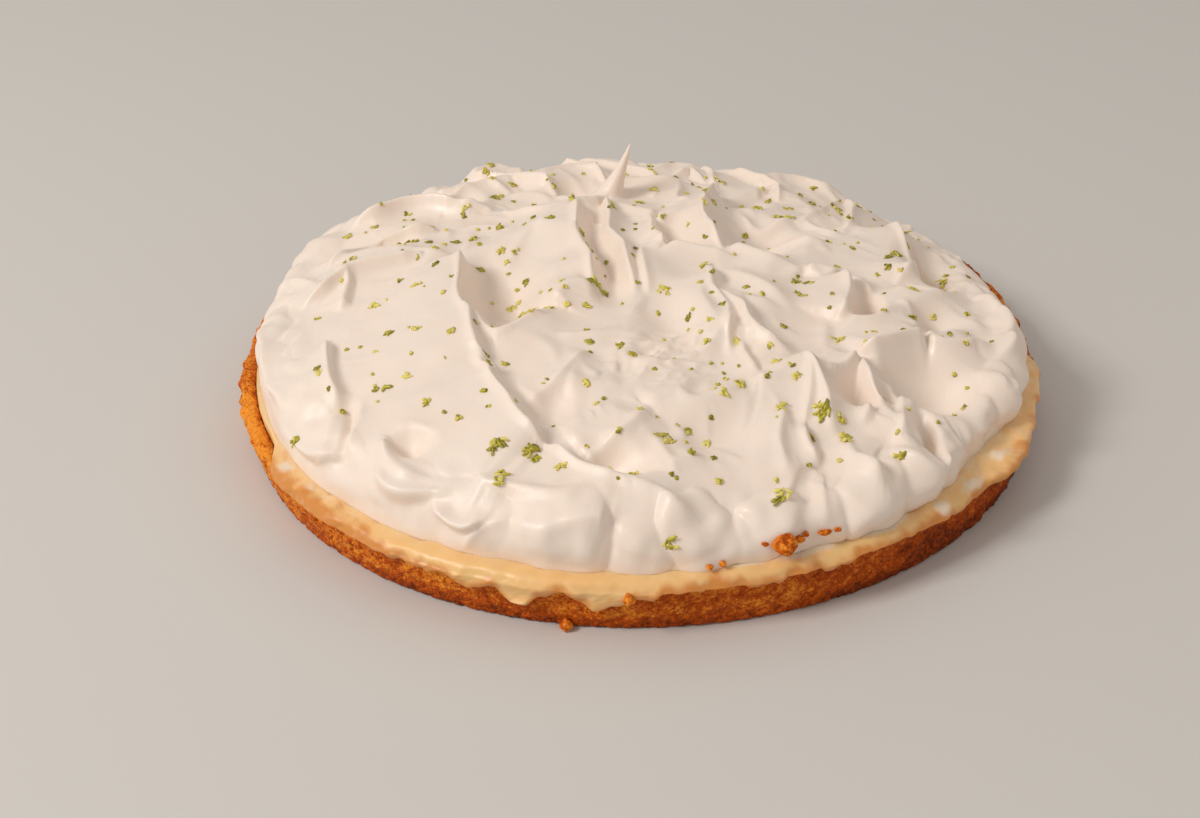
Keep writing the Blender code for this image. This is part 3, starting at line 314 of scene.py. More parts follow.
def crumb_material(name, grain_per_metre, relief_depth):
    """Baked biscuit crumb, by the shade and the baked tone that its mesh keeps, which carry painted shade and
    painted light.
    """
    material, nodes, links, shader = new_material(name, 0.6)
    grain = nodes.new("ShaderNodeGroup")
    grain.node_tree = CRUMB_GRAIN
    grain.inputs["Grain per metre"].default_value = grain_per_metre
    for kept in ("Shade", "Browning_and_painted_light"):
        value = nodes.new("ShaderNodeAttribute")
        value.attribute_name = kept.lower()
        links.new(value.outputs["Fac"], grain.inputs[kept])
    links.new(grain.outputs["Colour"], shader.inputs["Base Color"])
    links.new(grain.outputs["Roughness"], shader.inputs["Roughness"])
    give_relief(nodes, links, shader, grain.outputs["Height"], relief_depth, 0.8)
    shader.inputs["Specular IOR Level"].default_value = 0.14
    let_light_in(shader, 0.12, 0.0012, (1.0, 0.5, 0.2))
    return material


def crust_mesh():
    """The crust: the wall from its foot up, over the rim and down its inside, then the floor."""
    angle = np.arange(CRUST_STEPS) * 360.0 / CRUST_STEPS
    share = np.linspace(0.0, 1.0, CRUST_ROWS)[:, None]
    top = rim_height(angle)
    out_top = crust_radius(angle, top)
    in_top = out_top - RIM_THICKNESS
    way = [
        (crust_radius(angle, 0.0) - 1.2, 0.0 * angle),
        (crust_radius(angle, 0.0) - 0.2, 0.9 + 0.0 * angle),
        (crust_radius(angle, top * 0.87), top * 0.87),
        (out_top - 1.4, top),
        (in_top + 1.4, top - 0.2),
        (in_top, top - 1.6),
        (in_top - 1.2, CRUST_FLOOR + 2.4 + 0.0 * angle),
    ]
    r, z = along_way(way, share)
    outside = step(-2.4, -0.4, r - out_top)
    hidden = spill_share(angle) * step(0.5, 0.75, z / top)
    grain = WALL_UNEVENNESS * (1.0 - hidden) * step(0.0, 1.5, z)
    r += outside * (crumb_relief(angle, z, grain) - SPILL_INSET * spill_share(angle))
    floor_r = np.stack([in_top - 3.6, in_top * 0.5])
    floor_z = np.full_like(floor_r, CRUST_FLOOR)
    foot_r = np.full((1, CRUST_STEPS), UNDERSIDE_RING)
    r = np.concatenate([foot_r, r, floor_r])
    z = np.concatenate([0.0 * foot_r, z, floor_z])
    mesh = wheel_mesh("crumb_crust", angle, r, z, 0.0, CRUST_FLOOR)
    at = places(mesh)
    coarse, coarse_shade = crumbs(at, COARSE_CRUMB, 3)
    fine, fine_shade = crumbs(at, FINE_CRUMB, 4)
    turn = np.degrees(np.arctan2(at[:, 1], at[:, 0]))
    free = 1.0 - spill_share(turn) * step(0.62, 0.8, at[:, 2] / rim_height(turn))
    free *= step(0.0, 0.5, at[:, 2]) * step(108.0, 114.0, np.hypot(at[:, 0], at[:, 1]))
    rise = COARSE_DEPTH * (coarse - 0.62) + FINE_DEPTH * (fine - 0.6)
    push_out(mesh, rise * free)
    # each crumb's own tone, with painted shade in the dips between the large crumbs and painted light on
    # their tops
    paint(mesh, "shade", 0.24 * coarse_shade + 0.28 * fine_shade + 0.12 * (coarse - 0.5) + 0.04)
    # a cloudy baked tone, with painted shade at the foot and on the right side and painted light on the left
    browning_and_painted_light = 0.34 * (1.0 - step(0.0, 7.0, at[:, 2])) + 0.10 * waves(turn, at[:, 2], 16, 15)
    browning_and_painted_light += 0.3 * bump(angle_gap(turn, -30) / 55) - 0.2 * bump(angle_gap(turn, -165) / 48)
    paint(mesh, "browning_and_painted_light", browning_and_painted_light)
    return mesh


crust = add_piece("pressed_crumbs", crust_mesh(), crumb_material("baked crumb", 1400.0, 0.0004))
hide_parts("crust")

# The lemon cream
# A set cream of lemon, egg and condensed milk, poured to the rim and over it along the front, where it
# hangs down the crust in a thick torn edge. At the right a tongue of it stands straight out over the rim.
CREAM_LEVEL = 18.2          # top of the cream, on which the meringue lies
CREAM_SKIN = 1.5            # thickness of the cream where it hangs down the outside
CREAM_EDGE = 15.4           # height of its lower edge between the drips
NODE_GAP = 0.35             # free gap between two layers
CREAM_STEPS = 1440          # mesh steps round the cream
CREAM_ROWS = 44             # mesh rows along its underside, and as many along its top
FLAP_FIRST, FLAP_LAST = -43.0, -4.0     # between these angles the cream stands out over the rim
FLAP_REACH = 1.0
FLAP_THICKNESS = 3.0
CREAM_COLOUR = (0.93, 0.575, 0.25)
CREAM_DEEP = (0.86, 0.48, 0.17)
CREAM_THIN_AND_UNDERSIDE = (0.64, 0.225, 0.026)
CREAM_PALE = (0.94, 0.72, 0.47)
SMEAR_COLOUR = (0.92, 0.78, 0.64)
# A drip lies at an angle, spreads about half_width degrees to each side and reaches so far beyond the edge
Drip = namedtuple("Drip", "angle half_width reach")
FLAP_TIP = Drip(-35, 9, 3.4)
DRIPS = [
    Drip(-126, 4, 1.6), Drip(-120.5, 4, 2.6), Drip(-117, 2.4, 1.2), Drip(-112.5, 3.2, 4.6),
    Drip(-106.5, 3.0, 8.0), Drip(-102.6, 1.8, 2.6), Drip(-97, 3.6, 6.8), Drip(-92, 3.2, 3.2),
    Drip(-79, 4, 0.6), Drip(-76, 2, 0.9), Drip(-49, 4, 1.2),
]
# White smears that the meringue left, each with its middle and its size along and across the edge
Smear = namedtuple("Smear", "angle radius height long wide")
SMEARS = [
    Smear(-35.5, 125.5, 20.5, 5.0, 3.0), Smear(-44, 127, 19.5, 5.5, 2.6), Smear(-50.5, 126.5, 17.5, 2.6, 2.4),
    Smear(-60, 123.8, 18.6, 9.0, 2.4), Smear(-71, 123.2, 18.6, 9.0, 2.8), Smear(-79, 122.8, 18.6, 6.5, 2.4),
    Smear(-147, 126, 19.5, 3.6, 2.6), Smear(-140, 125.5, 19.5, 4.0, 1.6),
]


def cream_edge(angle):
    """The height of the cream's lower edge on the crust's outside, torn finely between its drips."""
    edge = CREAM_EDGE + 0.5 * waves(angle, angle * 0, 11, 71)
    for drip in DRIPS:
        edge = edge - drip.reach * bump(angle_gap(angle, drip.angle) / (1.35 * drip.half_width))
    torn = 0.55 * waves(angle, angle * 0, 3.6, 74) + 0.3 * waves(angle, angle * 0, 1.3, 75)
    return np.maximum(edge + torn, 4.6)


def flap_share(angle):
    """1 where the cream stands straight out over the rim."""
    half = (FLAP_LAST - FLAP_FIRST) / 2
    inside = np.abs(angle_gap(angle, (FLAP_FIRST + FLAP_LAST) / 2))
    return 1.0 - step(half - 4.0, half + 1.0, inside)


def cream_mesh():
    """The cream: its underside from the middle out over the rim to the tip, then its top back again."""
    angle = np.arange(CREAM_STEPS) * 360.0 / CREAM_STEPS
    top = rim_height(angle)
    rim_out = crust_radius(angle, top)
    rim_in = rim_out - RIM_THICKNESS
    flap, spill = flap_share(angle), spill_share(angle)
    clear = 0.55 + 2.4 * spill * (1.0 - spill)      # off the crust, more where the cream starts to run over
    lip = np.minimum(top - 2.0, CREAM_LEVEL - 2.2)
    way = [
        (rim_in - clear, lip),
        (rim_in - clear, np.maximum(top - 1.4, lip + 0.2)),
        (rim_in + 1.4 - clear, top + clear),
        (rim_out - 1.2 + clear, top + clear),
        (rim_out + 0.2 + clear, top - 1.0 + 1.2 * flap),
    ]
    edge = cream_edge(angle)
    reach = FLAP_REACH + FLAP_TIP.reach * bump(angle_gap(angle, FLAP_TIP.angle) / (1.3 * FLAP_TIP.half_width))
    reach += 0.5 * waves(angle, angle * 0, 5, 76) * flap
    drop = np.maximum(top - 1.0 - edge, 0.6)
    end_down = (crust_radius(angle, edge) + 0.2 + clear, top - 1.0 - drop)
    end_out = (rim_out + clear + reach, top + clear - 0.9)
    way.append(tuple(a + (b - a) * flap for a, b in zip(end_down, end_out)))
    whole = sum(np.hypot(b[0] - a[0], b[1] - a[1]) for a, b in zip(way[:-1], way[1:]))
    used = spill + (1.0 - spill) * 1.1 / whole
    share = np.linspace(0.0, 1.0, CREAM_ROWS)[:, None]
    r, z = along_way(way, share * used)
    outside = step(-1.6, 0.3, r - rim_out) * (1.0 - flap)
    around = np.radians(angle) * rim_out + 0.0 * r
    skin = CREAM_SKIN + 0.3 * waves(angle + 0.0 * r, share * used * whole, 15, 73)
    skin += outside * (0.36 * waves(around, z, 7.0, 77) + 0.1 * waves(around, 2.0 * z, 3.2, 78))
    skin += outside * 0.5 * share**6
    level = CREAM_LEVEL - z
    thick = level * (1.0 - outside) + skin * outside
    thick = np.where(flap > 0.5, np.maximum(thick, FLAP_THICKNESS * flap * step(0, 3, r - rim_in)), thick)
    thick = np.maximum(np.minimum(thick, level), 0.5) * np.sqrt(np.clip(1.0 - share**10, 0.0, 1.0) + 0.004)
    lean = outside * math.pi / 2
    over_r, over_z = r + thick * np.sin(lean), z + thick * np.cos(lean)
    over_z += (1.0 - outside) * 0.22 * waves(around, r * 1.4, 9, 79) * step(-3.0, 1.0, r - rim_in)
    floor = CRUST_FLOOR + NODE_GAP
    inner_r = np.stack([rim_in - 3.6 - NODE_GAP, rim_in - 1.2 - NODE_GAP])
    inner_z = np.stack([floor + 0.0 * angle, CRUST_FLOOR + 2.4 + 0.6 * NODE_GAP + 0.0 * angle])
    top_r = np.stack([rim_in - 5.0, rim_in * 0.5])
    top_z = np.full_like(top_r, CREAM_LEVEL)
    r = np.concatenate([inner_r, r, over_r[::-1], top_r])
    z = np.concatenate([inner_z, z, over_z[::-1], top_z])
    mesh = wheel_mesh("lemon_cream", angle, r, z, floor, CREAM_LEVEL)
    at = places(mesh)
    turn = np.degrees(np.arctan2(at[:, 1], at[:, 0]))
    u, v = at[:, 0], at[:, 1] + at[:, 2]
    blotch = 0.35 * waves(u, v, 7.0, 80) + 0.3 * waves(u, v, 2.6, 81)
    radius = np.hypot(at[:, 0], at[:, 1])
    smear = np.zeros(len(at))
    for s in SMEARS:
        around = np.radians(angle_gap(turn, s.angle)) * s.radius / s.long
        across = np.hypot(radius - s.radius, at[:, 2] - s.height) / s.wide
        smear = np.maximum(smear, 1.35 - np.hypot(around, across))
    paint(mesh, "smear", 0.85 * step(0.0, 0.8, smear + 0.25 * blotch))
    around = np.radians(turn) * radius
    low = edge[np.arange(len(at)) % CREAM_STEPS] + 2.0 - at[:, 2]
    low += 0.25 * waves(around, radius + at[:, 2], 3.0, 82) + 0.6 * waves(around, radius + at[:, 2], 9.0, 83)
    low += 1.5 * bump(angle_gap(turn, -138) / 22) + 0.5 * np.maximum(radius - 125.0, 0.0)
    beneath = np.arange(len(at)) // CREAM_STEPS < CREAM_ROWS + 2
    # the flap's underside is given the browner colour as well
    low += 3.0 * flap_share(turn) * beneath
    paint(mesh, "thin_and_underside", step(0.0, 3.4, low))
    pale = at[:, 2] - CREAM_LEVEL + 1.0 + 0.8 * blotch - 0.4 * np.maximum(radius - 122.0, 0.0)
    paint(mesh, "pale", step(-1.5, 2.5, pale))
    return mesh


def soft_mottle_group():
    """A food surface that is nowhere quite even: a cloudy mask for colour and gloss, and low relief."""
    group = bpy.data.node_groups.new("soft mottle", "ShaderNodeTree")
    socket = group.interface.new_socket
    socket(name="Clouds per metre", in_out="INPUT", socket_type="NodeSocketFloat").default_value = 60.0
    socket(name="Grain per metre", in_out="INPUT", socket_type="NodeSocketFloat").default_value = 700.0
    socket(name="Mask", in_out="OUTPUT", socket_type="NodeSocketFloat")
    socket(name="Height", in_out="OUTPUT", socket_type="NodeSocketFloat")
    nodes, links = group.nodes, group.links
    into, out = nodes.new("NodeGroupInput"), nodes.new("NodeGroupOutput")
    where = nodes.new("ShaderNodeTexCoord")
    cloud = nodes.new("ShaderNodeTexNoise")
    cloud.inputs["Detail"].default_value = 3.0
    grain = nodes.new("ShaderNodeTexNoise")
    grain.inputs["Detail"].default_value = 4.0
    grain.inputs["Roughness"].default_value = 0.6
    for texture, scale in ((cloud, "Clouds per metre"), (grain, "Grain per metre")):
        links.new(where.outputs["Object"], texture.inputs["Vector"])
        links.new(into.outputs[scale], texture.inputs["Scale"])
    mask = nodes.new("ShaderNodeMapRange")
    mask.inputs["From Min"].default_value = 0.36
    mask.inputs["From Max"].default_value = 0.64
    links.new(cloud.outputs["Fac"], mask.inputs["Value"])
    links.new(mask.outputs["Result"], out.inputs["Mask"])
    links.new(grain.outputs["Fac"], out.inputs["Height"])
    return group


SOFT_MOTTLE = soft_mottle_group()


def mottle_node(nodes, clouds_per_metre, grain_per_metre):
    """The soft mottle, placed in a material with its own values."""
    mottle = nodes.new("ShaderNodeGroup")
    mottle.node_tree = SOFT_MOTTLE
    mottle.inputs["Clouds per metre"].default_value = clouds_per_metre
    mottle.inputs["Grain per metre"].default_value = grain_per_metre
    return mottle


def mixed_colour(nodes, links, mask, first, second):
    """A colour between first and second by a mask. Each of these is an output socket or a plain colour."""
    mix = nodes.new("ShaderNodeMix")
    mix.data_type = "RGBA"
    links.new(mask, mix.inputs["Factor"])
    for socket, colour in ((mix.inputs[6], first), (mix.inputs[7], second)):
        if isinstance(colour, tuple):
            socket.default_value = (*colour, 1.0)
        else:
            links.new(colour, socket)
    return mix.outputs[2]


def mapped(nodes, links, value, low, high):
    """value, between 0 and 1, as a number between low and high."""
    span = nodes.new("ShaderNodeMapRange")
    span.inputs["To Min"].default_value = low
    span.inputs["To Max"].default_value = high
    links.new(value, span.inputs["Value"])
    return span.outputs["Result"]


def kept_value(nodes, name):
    """The value that the mesh keeps for each vertex under this name."""
    node = nodes.new("ShaderNodeAttribute")
    node.attribute_name = name
    return node.outputs["Fac"]


def cream_material():
    """Set lemon cream: pale yellow, moist, browner where it hangs as a thinner skin near its lower edge and
    on the flap's underside, with white smears of meringue on it.
    """
    material, nodes, links, shader = new_material("lemon cream", 0.3)
    mottle = mottle_node(nodes, 70.0, 420.0)
    clouds = mapped(nodes, links, mottle.outputs["Mask"], 0.0, 0.35)
    colour = mixed_colour(nodes, links, clouds, CREAM_COLOUR, CREAM_DEEP)
    for kept, most, other in (("pale", 0.6, CREAM_PALE), ("thin_and_underside", 0.85, CREAM_THIN_AND_UNDERSIDE)):
        share = mapped(nodes, links, kept_value(nodes, kept), 0.0, most)
        colour = mixed_colour(nodes, links, share, colour, other)
    colour = mixed_colour(nodes, links, kept_value(nodes, "smear"), colour, SMEAR_COLOUR)
    links.new(colour, shader.inputs["Base Color"])
    links.new(mapped(nodes, links, mottle.outputs["Mask"], 0.3, 0.46), shader.inputs["Roughness"])
    give_relief(nodes, links, shader, mottle.outputs["Height"], 0.0003, 0.5)
    let_light_in(shader, 0.45, 0.0028, (1.0, 0.62, 0.28))
    return material


cream = add_piece("set_lemon_cream", cream_mesh(), cream_material())
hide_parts("lemon_cream")


# The meringue
# Egg white whipped stiff with hot sugar syrup, heaped on the cream and swept with the back of a spoon.
# Each pull left a sharp crest and a smooth hollow beside it, and the last one drew up a tall spike.
MERINGUE_RADIUS = 120.8     # mean radius of its foot
MERINGUE_CENTRE = 46.0      # height of its middle, hollows and crests apart
MERINGUE_EDGE = 30.5        # height of its shoulder
SHOULDER = 10.0             # width of the rounded shoulder
WALL_LENGTH = 21.0          # length of the wall's surface, from the shoulder down to the foot
WALL_SHARE = 0.17           # the wall's share of the mesh rows between the middle and the foot
CREST_FULLNESS = 0.80       # the share of a stroke's height that its broad crest has
CREST_MEETING = 2.2         # how crests that meet add up: in full at 1, only the higher one at large values
LIP_HEIGHT, LIP_WIDTH = 1.3, 2.6            # the fine lip along a crest of 5 mm
CREST_ROUNDING = 0.35       # how blunt the crests are
MERINGUE_CELLS = 430        # mesh cells across it
MERINGUE_SUNK = 0.3         # how far it has sunk into the cream, to which it sticks
SMALL_CRESTS, SMALL_CRESTS_REACH = 90, 108.0        # how many slight crests, and out to what radius
WRINKLE_GROUPS, WRINKLES_REACH = 110, 118.0         # how many groups of fine wrinkles, and out to where
MERINGUE_COLOUR = (0.925, 0.805, 0.71)
MERINGUE_DEEP = (0.90, 0.755, 0.645)
Stroke = namedtuple("Stroke", "start via end height left right lean rise fall")
Hollow = namedtuple("Hollow", "centre radii turn depth")
Torn = namedtuple("Torn", "centre radius height")
Peak = namedtuple("Peak", "centre radius height lean")
Puff = namedtuple("Puff", "angle down half_width half_height bulge")


def stroke(start, via, end, height, left, right, lean=0.0, rise=0.2, fall=0.2):
    """One pull of the spoon. It leaves a crest on an arc from start over via to end. The crest's flanks run
    down over left and right of it. It hangs over by lean to its left. It rises and falls over those shares
    of its length."""
    return Stroke(start, via, end, height, left, right, lean, rise, fall)


# The crests, those of one part of the pie together
STROKES = [
    # the sharp edge left of the middle
    stroke((-59.5, 9), (-55.5, -29), (-47, -62.5), 8.6, 11, 46, 1.8, rise=0.1, fall=0.25),
    stroke((-52.5, -46), (-41, -80.5), (-28, -93), 7.4, 12, 42, 1.6, rise=0.25, fall=0.25),
    stroke((-30.5, -90), (-20, -104.5), (-3.5, -112), 6.4, 10, 30, 1.2, rise=0.25, fall=0.25),
    stroke((-14, -107), (-0.5, -113), (13, -118), 4.6, 12, 18, 0.8, rise=0.3, fall=0.4),
    stroke((-106, 19.5), (-82.5, 19.5), (-59.5, 12), 4.6, 18, 30, 0, rise=0.3, fall=0.15),
    # the rim of the bowl to its right
    stroke((-55, -24.5), (-42.5, -43), (-26, -24), 5, 13, 13, 0.8, rise=0.15),
    stroke((-27.5, -27), (-23, -21), (-13, -16), 5, 18, 11, 0, rise=0.25),
    stroke((-19, 46), (-21, 17), (-13, -18), 7.4, 9, 26, 1.4),
    stroke((-45.5, 50), (-28.5, 42), (-11, 53), 4.8, 14, 9, -1, rise=0.25, fall=0.1),
    stroke((-34, 24.5), (-26.5, 33), (-18, 51), 3.6, 9, 14, 0, fall=0.1),
    stroke((-44.5, 65.5), (-35, 64.5), (-25, 54.5), 1.8, 5, 5, 0, rise=0.3, fall=0.3),
    stroke((-67.5, 55.5), (-61, 65.5), (-53, 70), 3.2, 9, 12, 0, rise=0.3, fall=0.3),
    # the fins in the middle
    stroke((-9, 52), (-5.5, 10), (0, -21.5), 6.4, 7, 7, -0.6, rise=0.1, fall=0.45),
    stroke((0, 12), (3.5, -6), (3, -21), 3.4, 15, 5, -0.8, rise=0.3, fall=0.4),
    stroke((-10.5, 52.5), (-0.5, 42), (7, 35.5), 3.2, 12, 10, 0),
    # the bowls behind
    stroke((30, 63.5), (21.5, 30), (31, 4.5), 8.4, 11, 15, 1.4, rise=0.12, fall=0.3),
    stroke((29.5, 10.5), (37.5, 3.5), (48.5, -3), 4.2, 10, 14, 0.4, rise=0.3, fall=0.3),
    stroke((4.5, 36.5), (5, 15), (9.5, 8.5), 5, 10, 9, 1, rise=0.25, fall=0.25),
    stroke((7.5, 11), (20, 4), (34, 0.5), 4.2, 11, 13, 0.6, fall=0.3),
    stroke((5, 34.5), (14, 38.5), (23, 61.5), 3.4, 10, 9, 0, fall=0.15),
    stroke((16.5, 74), (15.5, 50.5), (19.5, 46), 3, 4, 6, 0.6, rise=0.3, fall=0.3),
    stroke((15.5, 80), (23.5, 89), (27.5, 70), 3.6, 9, 5, -0.6, rise=0.25, fall=0.25),
    # the two long crests running to the front
    stroke((19.5, -2), (23.5, -28), (25, -55.5), 6.4, 8, 22, 1.2, fall=0.3),
    stroke((23, -13), (30, -39.5), (43, -53), 5.6, 7, 9, 0.8),
    stroke((23, -3.5), (37, -15.5), (47, -31.5), 3.2, 14, 10, 0, rise=0.3, fall=0.3),
    stroke((28, -42.5), (30, -57), (35, -67), 3, 5, 9, 0.4, rise=0.3, fall=0.3),
    # the tall folds at the front right
    stroke((45, -54), (49.5, -71), (54, -88.5), 7.6, 9, 14, 0.7, rise=0.22, fall=0.4),
    stroke((53.5, -83), (56.5, -98), (65, -98.5), 4, 14, 10, 0.4, rise=0.3, fall=0.3),
    stroke((47.5, -54), (45, -72), (42.5, -85.5), 3.8, 6, 16, 0.8, rise=0.25, fall=0.4),
    stroke((43, -81.5), (42.5, -92), (46, -96.5), 3.6, 6, 11, 0.8, rise=0.3, fall=0.35),
    stroke((38, -76), (34.5, -94.5), (37.5, -106), 3.6, 9, 16, 0.8, rise=0.35, fall=0.3),
    stroke((7.5, -65.5), (15, -75), (30.5, -62.5), 3.8, 9, 16, 0, rise=0.3, fall=0.3),
    stroke((29, -64), (37.5, -67.5), (46, -54), 4.4, 10, 18, 0, rise=0.3, fall=0.1),
    stroke((44.5, -53.5), (52.5, -60), (64.5, -51), 4.8, 15, 5, -1.6, fall=0.15),
    stroke((63.5, -51.5), (65.5, -61.5), (64, -70.5), 4.8, 7, 8, -0.9, rise=0.3, fall=0.35),
    stroke((50, -64.5), (56, -58), (64, -51.5), 3, 5, 5, 0),
    stroke((61, -66.5), (59.5, -76.5), (59.5, -83.5), 3.4, 5, 7, 0.6, rise=0.25, fall=0.4),
    stroke((65, -60.5), (70, -61.5), (74, -62), 3.8, 8, 9, 0, rise=0.25),
    stroke((73.5, -62), (71.5, -77.5), (67, -90.5), 5.2, 9, 15, 0.8, rise=0.28, fall=0.3),
    stroke((66, -89.5), (74.5, -92), (89, -75), 3.8, 11, 9, -0.4, rise=0.25, fall=0.3),
    # the lumps at the right
    stroke((51, -6.5), (57.5, -3), (63, -6.5), 4.6, 10, 18, 0, rise=0.25, fall=0.15),
    stroke((62.5, -5.5), (62, -23.5), (59.5, -33.5), 6.6, 6, 18, 1.4, rise=0.15, fall=0.3),
    stroke((63, -26), (69.5, -31.5), (83, -20.5), 3.6, 8, 14, 0, rise=0.25, fall=0.3),
    stroke((84, 45), (88.5, 18.5), (80.5, -10.5), 8.0, 9, 24, 1.6, fall=0.25),
    stroke((81, -8), (87.5, -17), (102, -1.5), 4.2, 10, 14, 0, fall=0.3),
    stroke((91, 48.5), (97, 20), (105.5, 8), 4, 10, 11, -0.6, rise=0.15, fall=0.3),
    stroke((63.5, -50.5), (72, -44.5), (85.5, -38.5), 6, 16, 10, -1.6, rise=0.25),
    stroke((83, -39), (93.5, -39.5), (105, -35.5), 5.4, 18, 10, -1, fall=0.3),
    stroke((106.5, -5.5), (112, -20.5), (104, -45.5), 4.8, 10, 13, 0.6, fall=0.3),
    stroke((81, -20), (83, -28.5), (79.5, -37.5), 3, 7, 12, 0.4, rise=0.25, fall=0.25),
    # the fine crests at the back right
    stroke((-18, 62), (2, 67), (26, 66), 5.4, 15, 14, 0.4, rise=0.35, fall=0.3),
    stroke((34, 46), (45.5, 36), (59, 48.5), 2.2, 5, 4, -0.4, fall=0.25),
    stroke((33, 33), (46, 24.5), (66.5, 21), 2.8, 6, 5, -0.5, fall=0.25),
    stroke((57, 46.5), (62.5, 34.5), (71, 29), 2.4, 6, 5, -0.4, rise=0.25, fall=0.3),
    stroke((34.5, 63.5), (47, 74.5), (61.5, 82), 2.2, 8, 6, -0.3, rise=0.3, fall=0.3),
    stroke((42.5, 6.5), (46.5, -1), (52, -5.5), 2.4, 7, 7, 0, rise=0.25),
    # the low crests in the middle and the front
    stroke((-19.5, -57.5), (-21.5, -70), (-19, -82.5), 3.2, 11, 15, 0.3, rise=0.35, fall=0.35),
    stroke((-36, -74.5), (-26.5, -65), (-15, -49.5), 4, 10, 10, -0.6, rise=0.25),
    stroke((-20, -55.5), (-17, -61.5), (-14.5, -64), 1.8, 4, 4, 0, fall=0.3),
    stroke((0, -78), (-8, -89.5), (-20, -97), 4.8, 11, 20, 0.8, rise=0.3, fall=0.15),
    stroke((16, -62.5), (6, -73), (-2.5, -78), 3, 9, 9, 0, rise=0.3, fall=0.3),
    # the curl at the front left and the folds round it
    stroke((-73, -82), (-71.5, -93.5), (-54, -103), 4.2, 9, 8, 0.8, rise=0.25, fall=0.3),
    stroke((-72.5, -82.5), (-66, -78.5), (-57.5, -85.5), 1.8, 8, 4, -0.4, rise=0.3, fall=0.3),
    stroke((-75.5, -91), (-67, -99.5), (-54, -104), 4.2, 7, 3, -1.3, rise=0.25, fall=0.3),
    stroke((-60, -103.5), (-51, -110.5), (-39, -112.5), 4.2, 8, 3.2, -1.4, rise=0.25, fall=0.25),
    stroke((-51.5, -113), (-44, -113.5), (-35, -113.5), 3.0, 3.5, 9, 1.0, rise=0.3, fall=0.3),
    stroke((-37, -113.8), (-25, -116.8), (-12, -118.6), 3.6, 11, 9, -0.5, rise=0.2, fall=0.1),
    stroke((-47, -103), (-35, -109), (-17, -112.5), 3.4, 12, 4, -1.0, rise=0.3, fall=0.3),
    stroke((-116, -8), (-113, -32), (-103, -60), 2.8, 8, 3.2, -1.0, rise=0.3, fall=0.3),
    stroke((-104.5, -57), (-97, -71), (-82, -84.5), 2.8, 8, 3.2, -1.0, rise=0.25, fall=0.3),
    stroke((-116, 8), (-111, 14), (-101, -4), 2.6, 6, 4, 0.8, rise=0.3, fall=0.3),
    stroke((-97.5, -29.5), (-94, -50), (-90, -67), 4.8, 8, 15, 1.2),
    stroke((-89.5, -66), (-87, -77.5), (-87, -82.5), 3.6, 8, 12, 0.8, rise=0.25, fall=0.25),
    stroke((-83.5, -62), (-82, -77.5), (-83, -85), 1.8, 16, 6, -0.4, rise=0.3, fall=0.3),
    stroke((-97.5, 10.5), (-94, -4.5), (-94.5, -14), 4, 5, 11, 1, rise=0.25, fall=0.25),
    # the folds along the back edge
    stroke((-64, 62), (-52, 74), (-38, 80), 5.0, 12, 16, 1.0),
    stroke((-58, 88), (-48, 97), (-36, 98), 5.0, 9, 14, 0, rise=0.1),
    stroke((-36, 76), (-22, 84), (-6, 80), 4.6, 12, 14, 1.0),
    stroke((-98, 44), (-80, 56), (-62, 56), 3.6, 12, 14, 1.0),
    stroke((-30, 92), (-22, 99), (-14, 96), 4.0, 9, 11, 0, rise=0.3, fall=0.3),
    stroke((4, 84), (18, 93), (30, 86), 4.5, 12, 15, 0.6, rise=0.3, fall=0.3),
    stroke((46, 80), (62, 88), (78, 74), 6.4, 10, 16, 0.6, rise=0.3, fall=0.3),
]

# The back, where the spoon's strokes follow one another round the edge
BACK_STROKES = dict(first=22.0, last=168.0, count=11, inner=58.0, outer=106.0, sweep=14.0, height=5.2)

# Where the spoon pressed in
HOLLOWS = [
    Hollow((-43, -12), (15, 26), 10, 9.1),      # the bowl right of the sharp edge
    Hollow((-33, 12), (10, 13), 30, 3.9),
    Hollow((41, 26), (13, 18), 20, 7.8),        # the bowl behind the middle
    Hollow((13, 22), (9, 13), 10, 5.7),
    Hollow((95, 12), (11, 16), 0, 9.6),
    Hollow((90, -27), (10, 7), 30, 5.2),
    Hollow((84, -57), (15, 13), -10, 9.1),
    Hollow((79, -82), (4, 12), 5, 6.5),
    Hollow((59, -66), (6, 9), 0, 6.0),
    Hollow((71, -70), (5, 11), 8, 5.0),
    Hollow((68, -22), (7, 9), 0, 6.5),
    Hollow((-66, -87), (8, 6), 0, 4.2),
    Hollow((-11, -98), (11, 7), -30, 6.0),
    Hollow((-26, -74), (10, 10), 0, 4.7),
    Hollow((8, -38), (11, 18), 0, 4.2),
    Hollow((20, -88), (12, 12), 0, 3.4),
    Hollow((-58, 60), (6, 8), 20, 4.9),
    Hollow((-87, -76), (4, 12), 0, 3.6),
    Hollow((-90, 30), (18, 10), 15, 4.7),
    Hollow((24, -28), (4, 14), 5, 3.9),
    Hollow((-9, -8), (6, 16), 5, 3.9),
    Hollow((40, 56), (9, 7), 20, 3.4),
    Hollow((-20, 68), (12, 7), 0, 3.9),
]

# Where the meringue tore into small crests: the middle of each patch, its radius and the crests' height
TORN = [Torn((4, -53), 17.0, 0.9), Torn((24, -44), 10.0, 0.6), Torn((66, -66), 9.0, 0.5)]

# Where the spoon was lifted off and drew the meringue up
PEAKS = [
    Peak((-10.5, 57), 9.5, 23.6, (11.0, -1.5)),
    Peak((27, 66), 7.5, 3.0, (1.0, 0.5)),
    Peak((45, -55), 8.0, 1.4, (1.2, 0.5)),
]

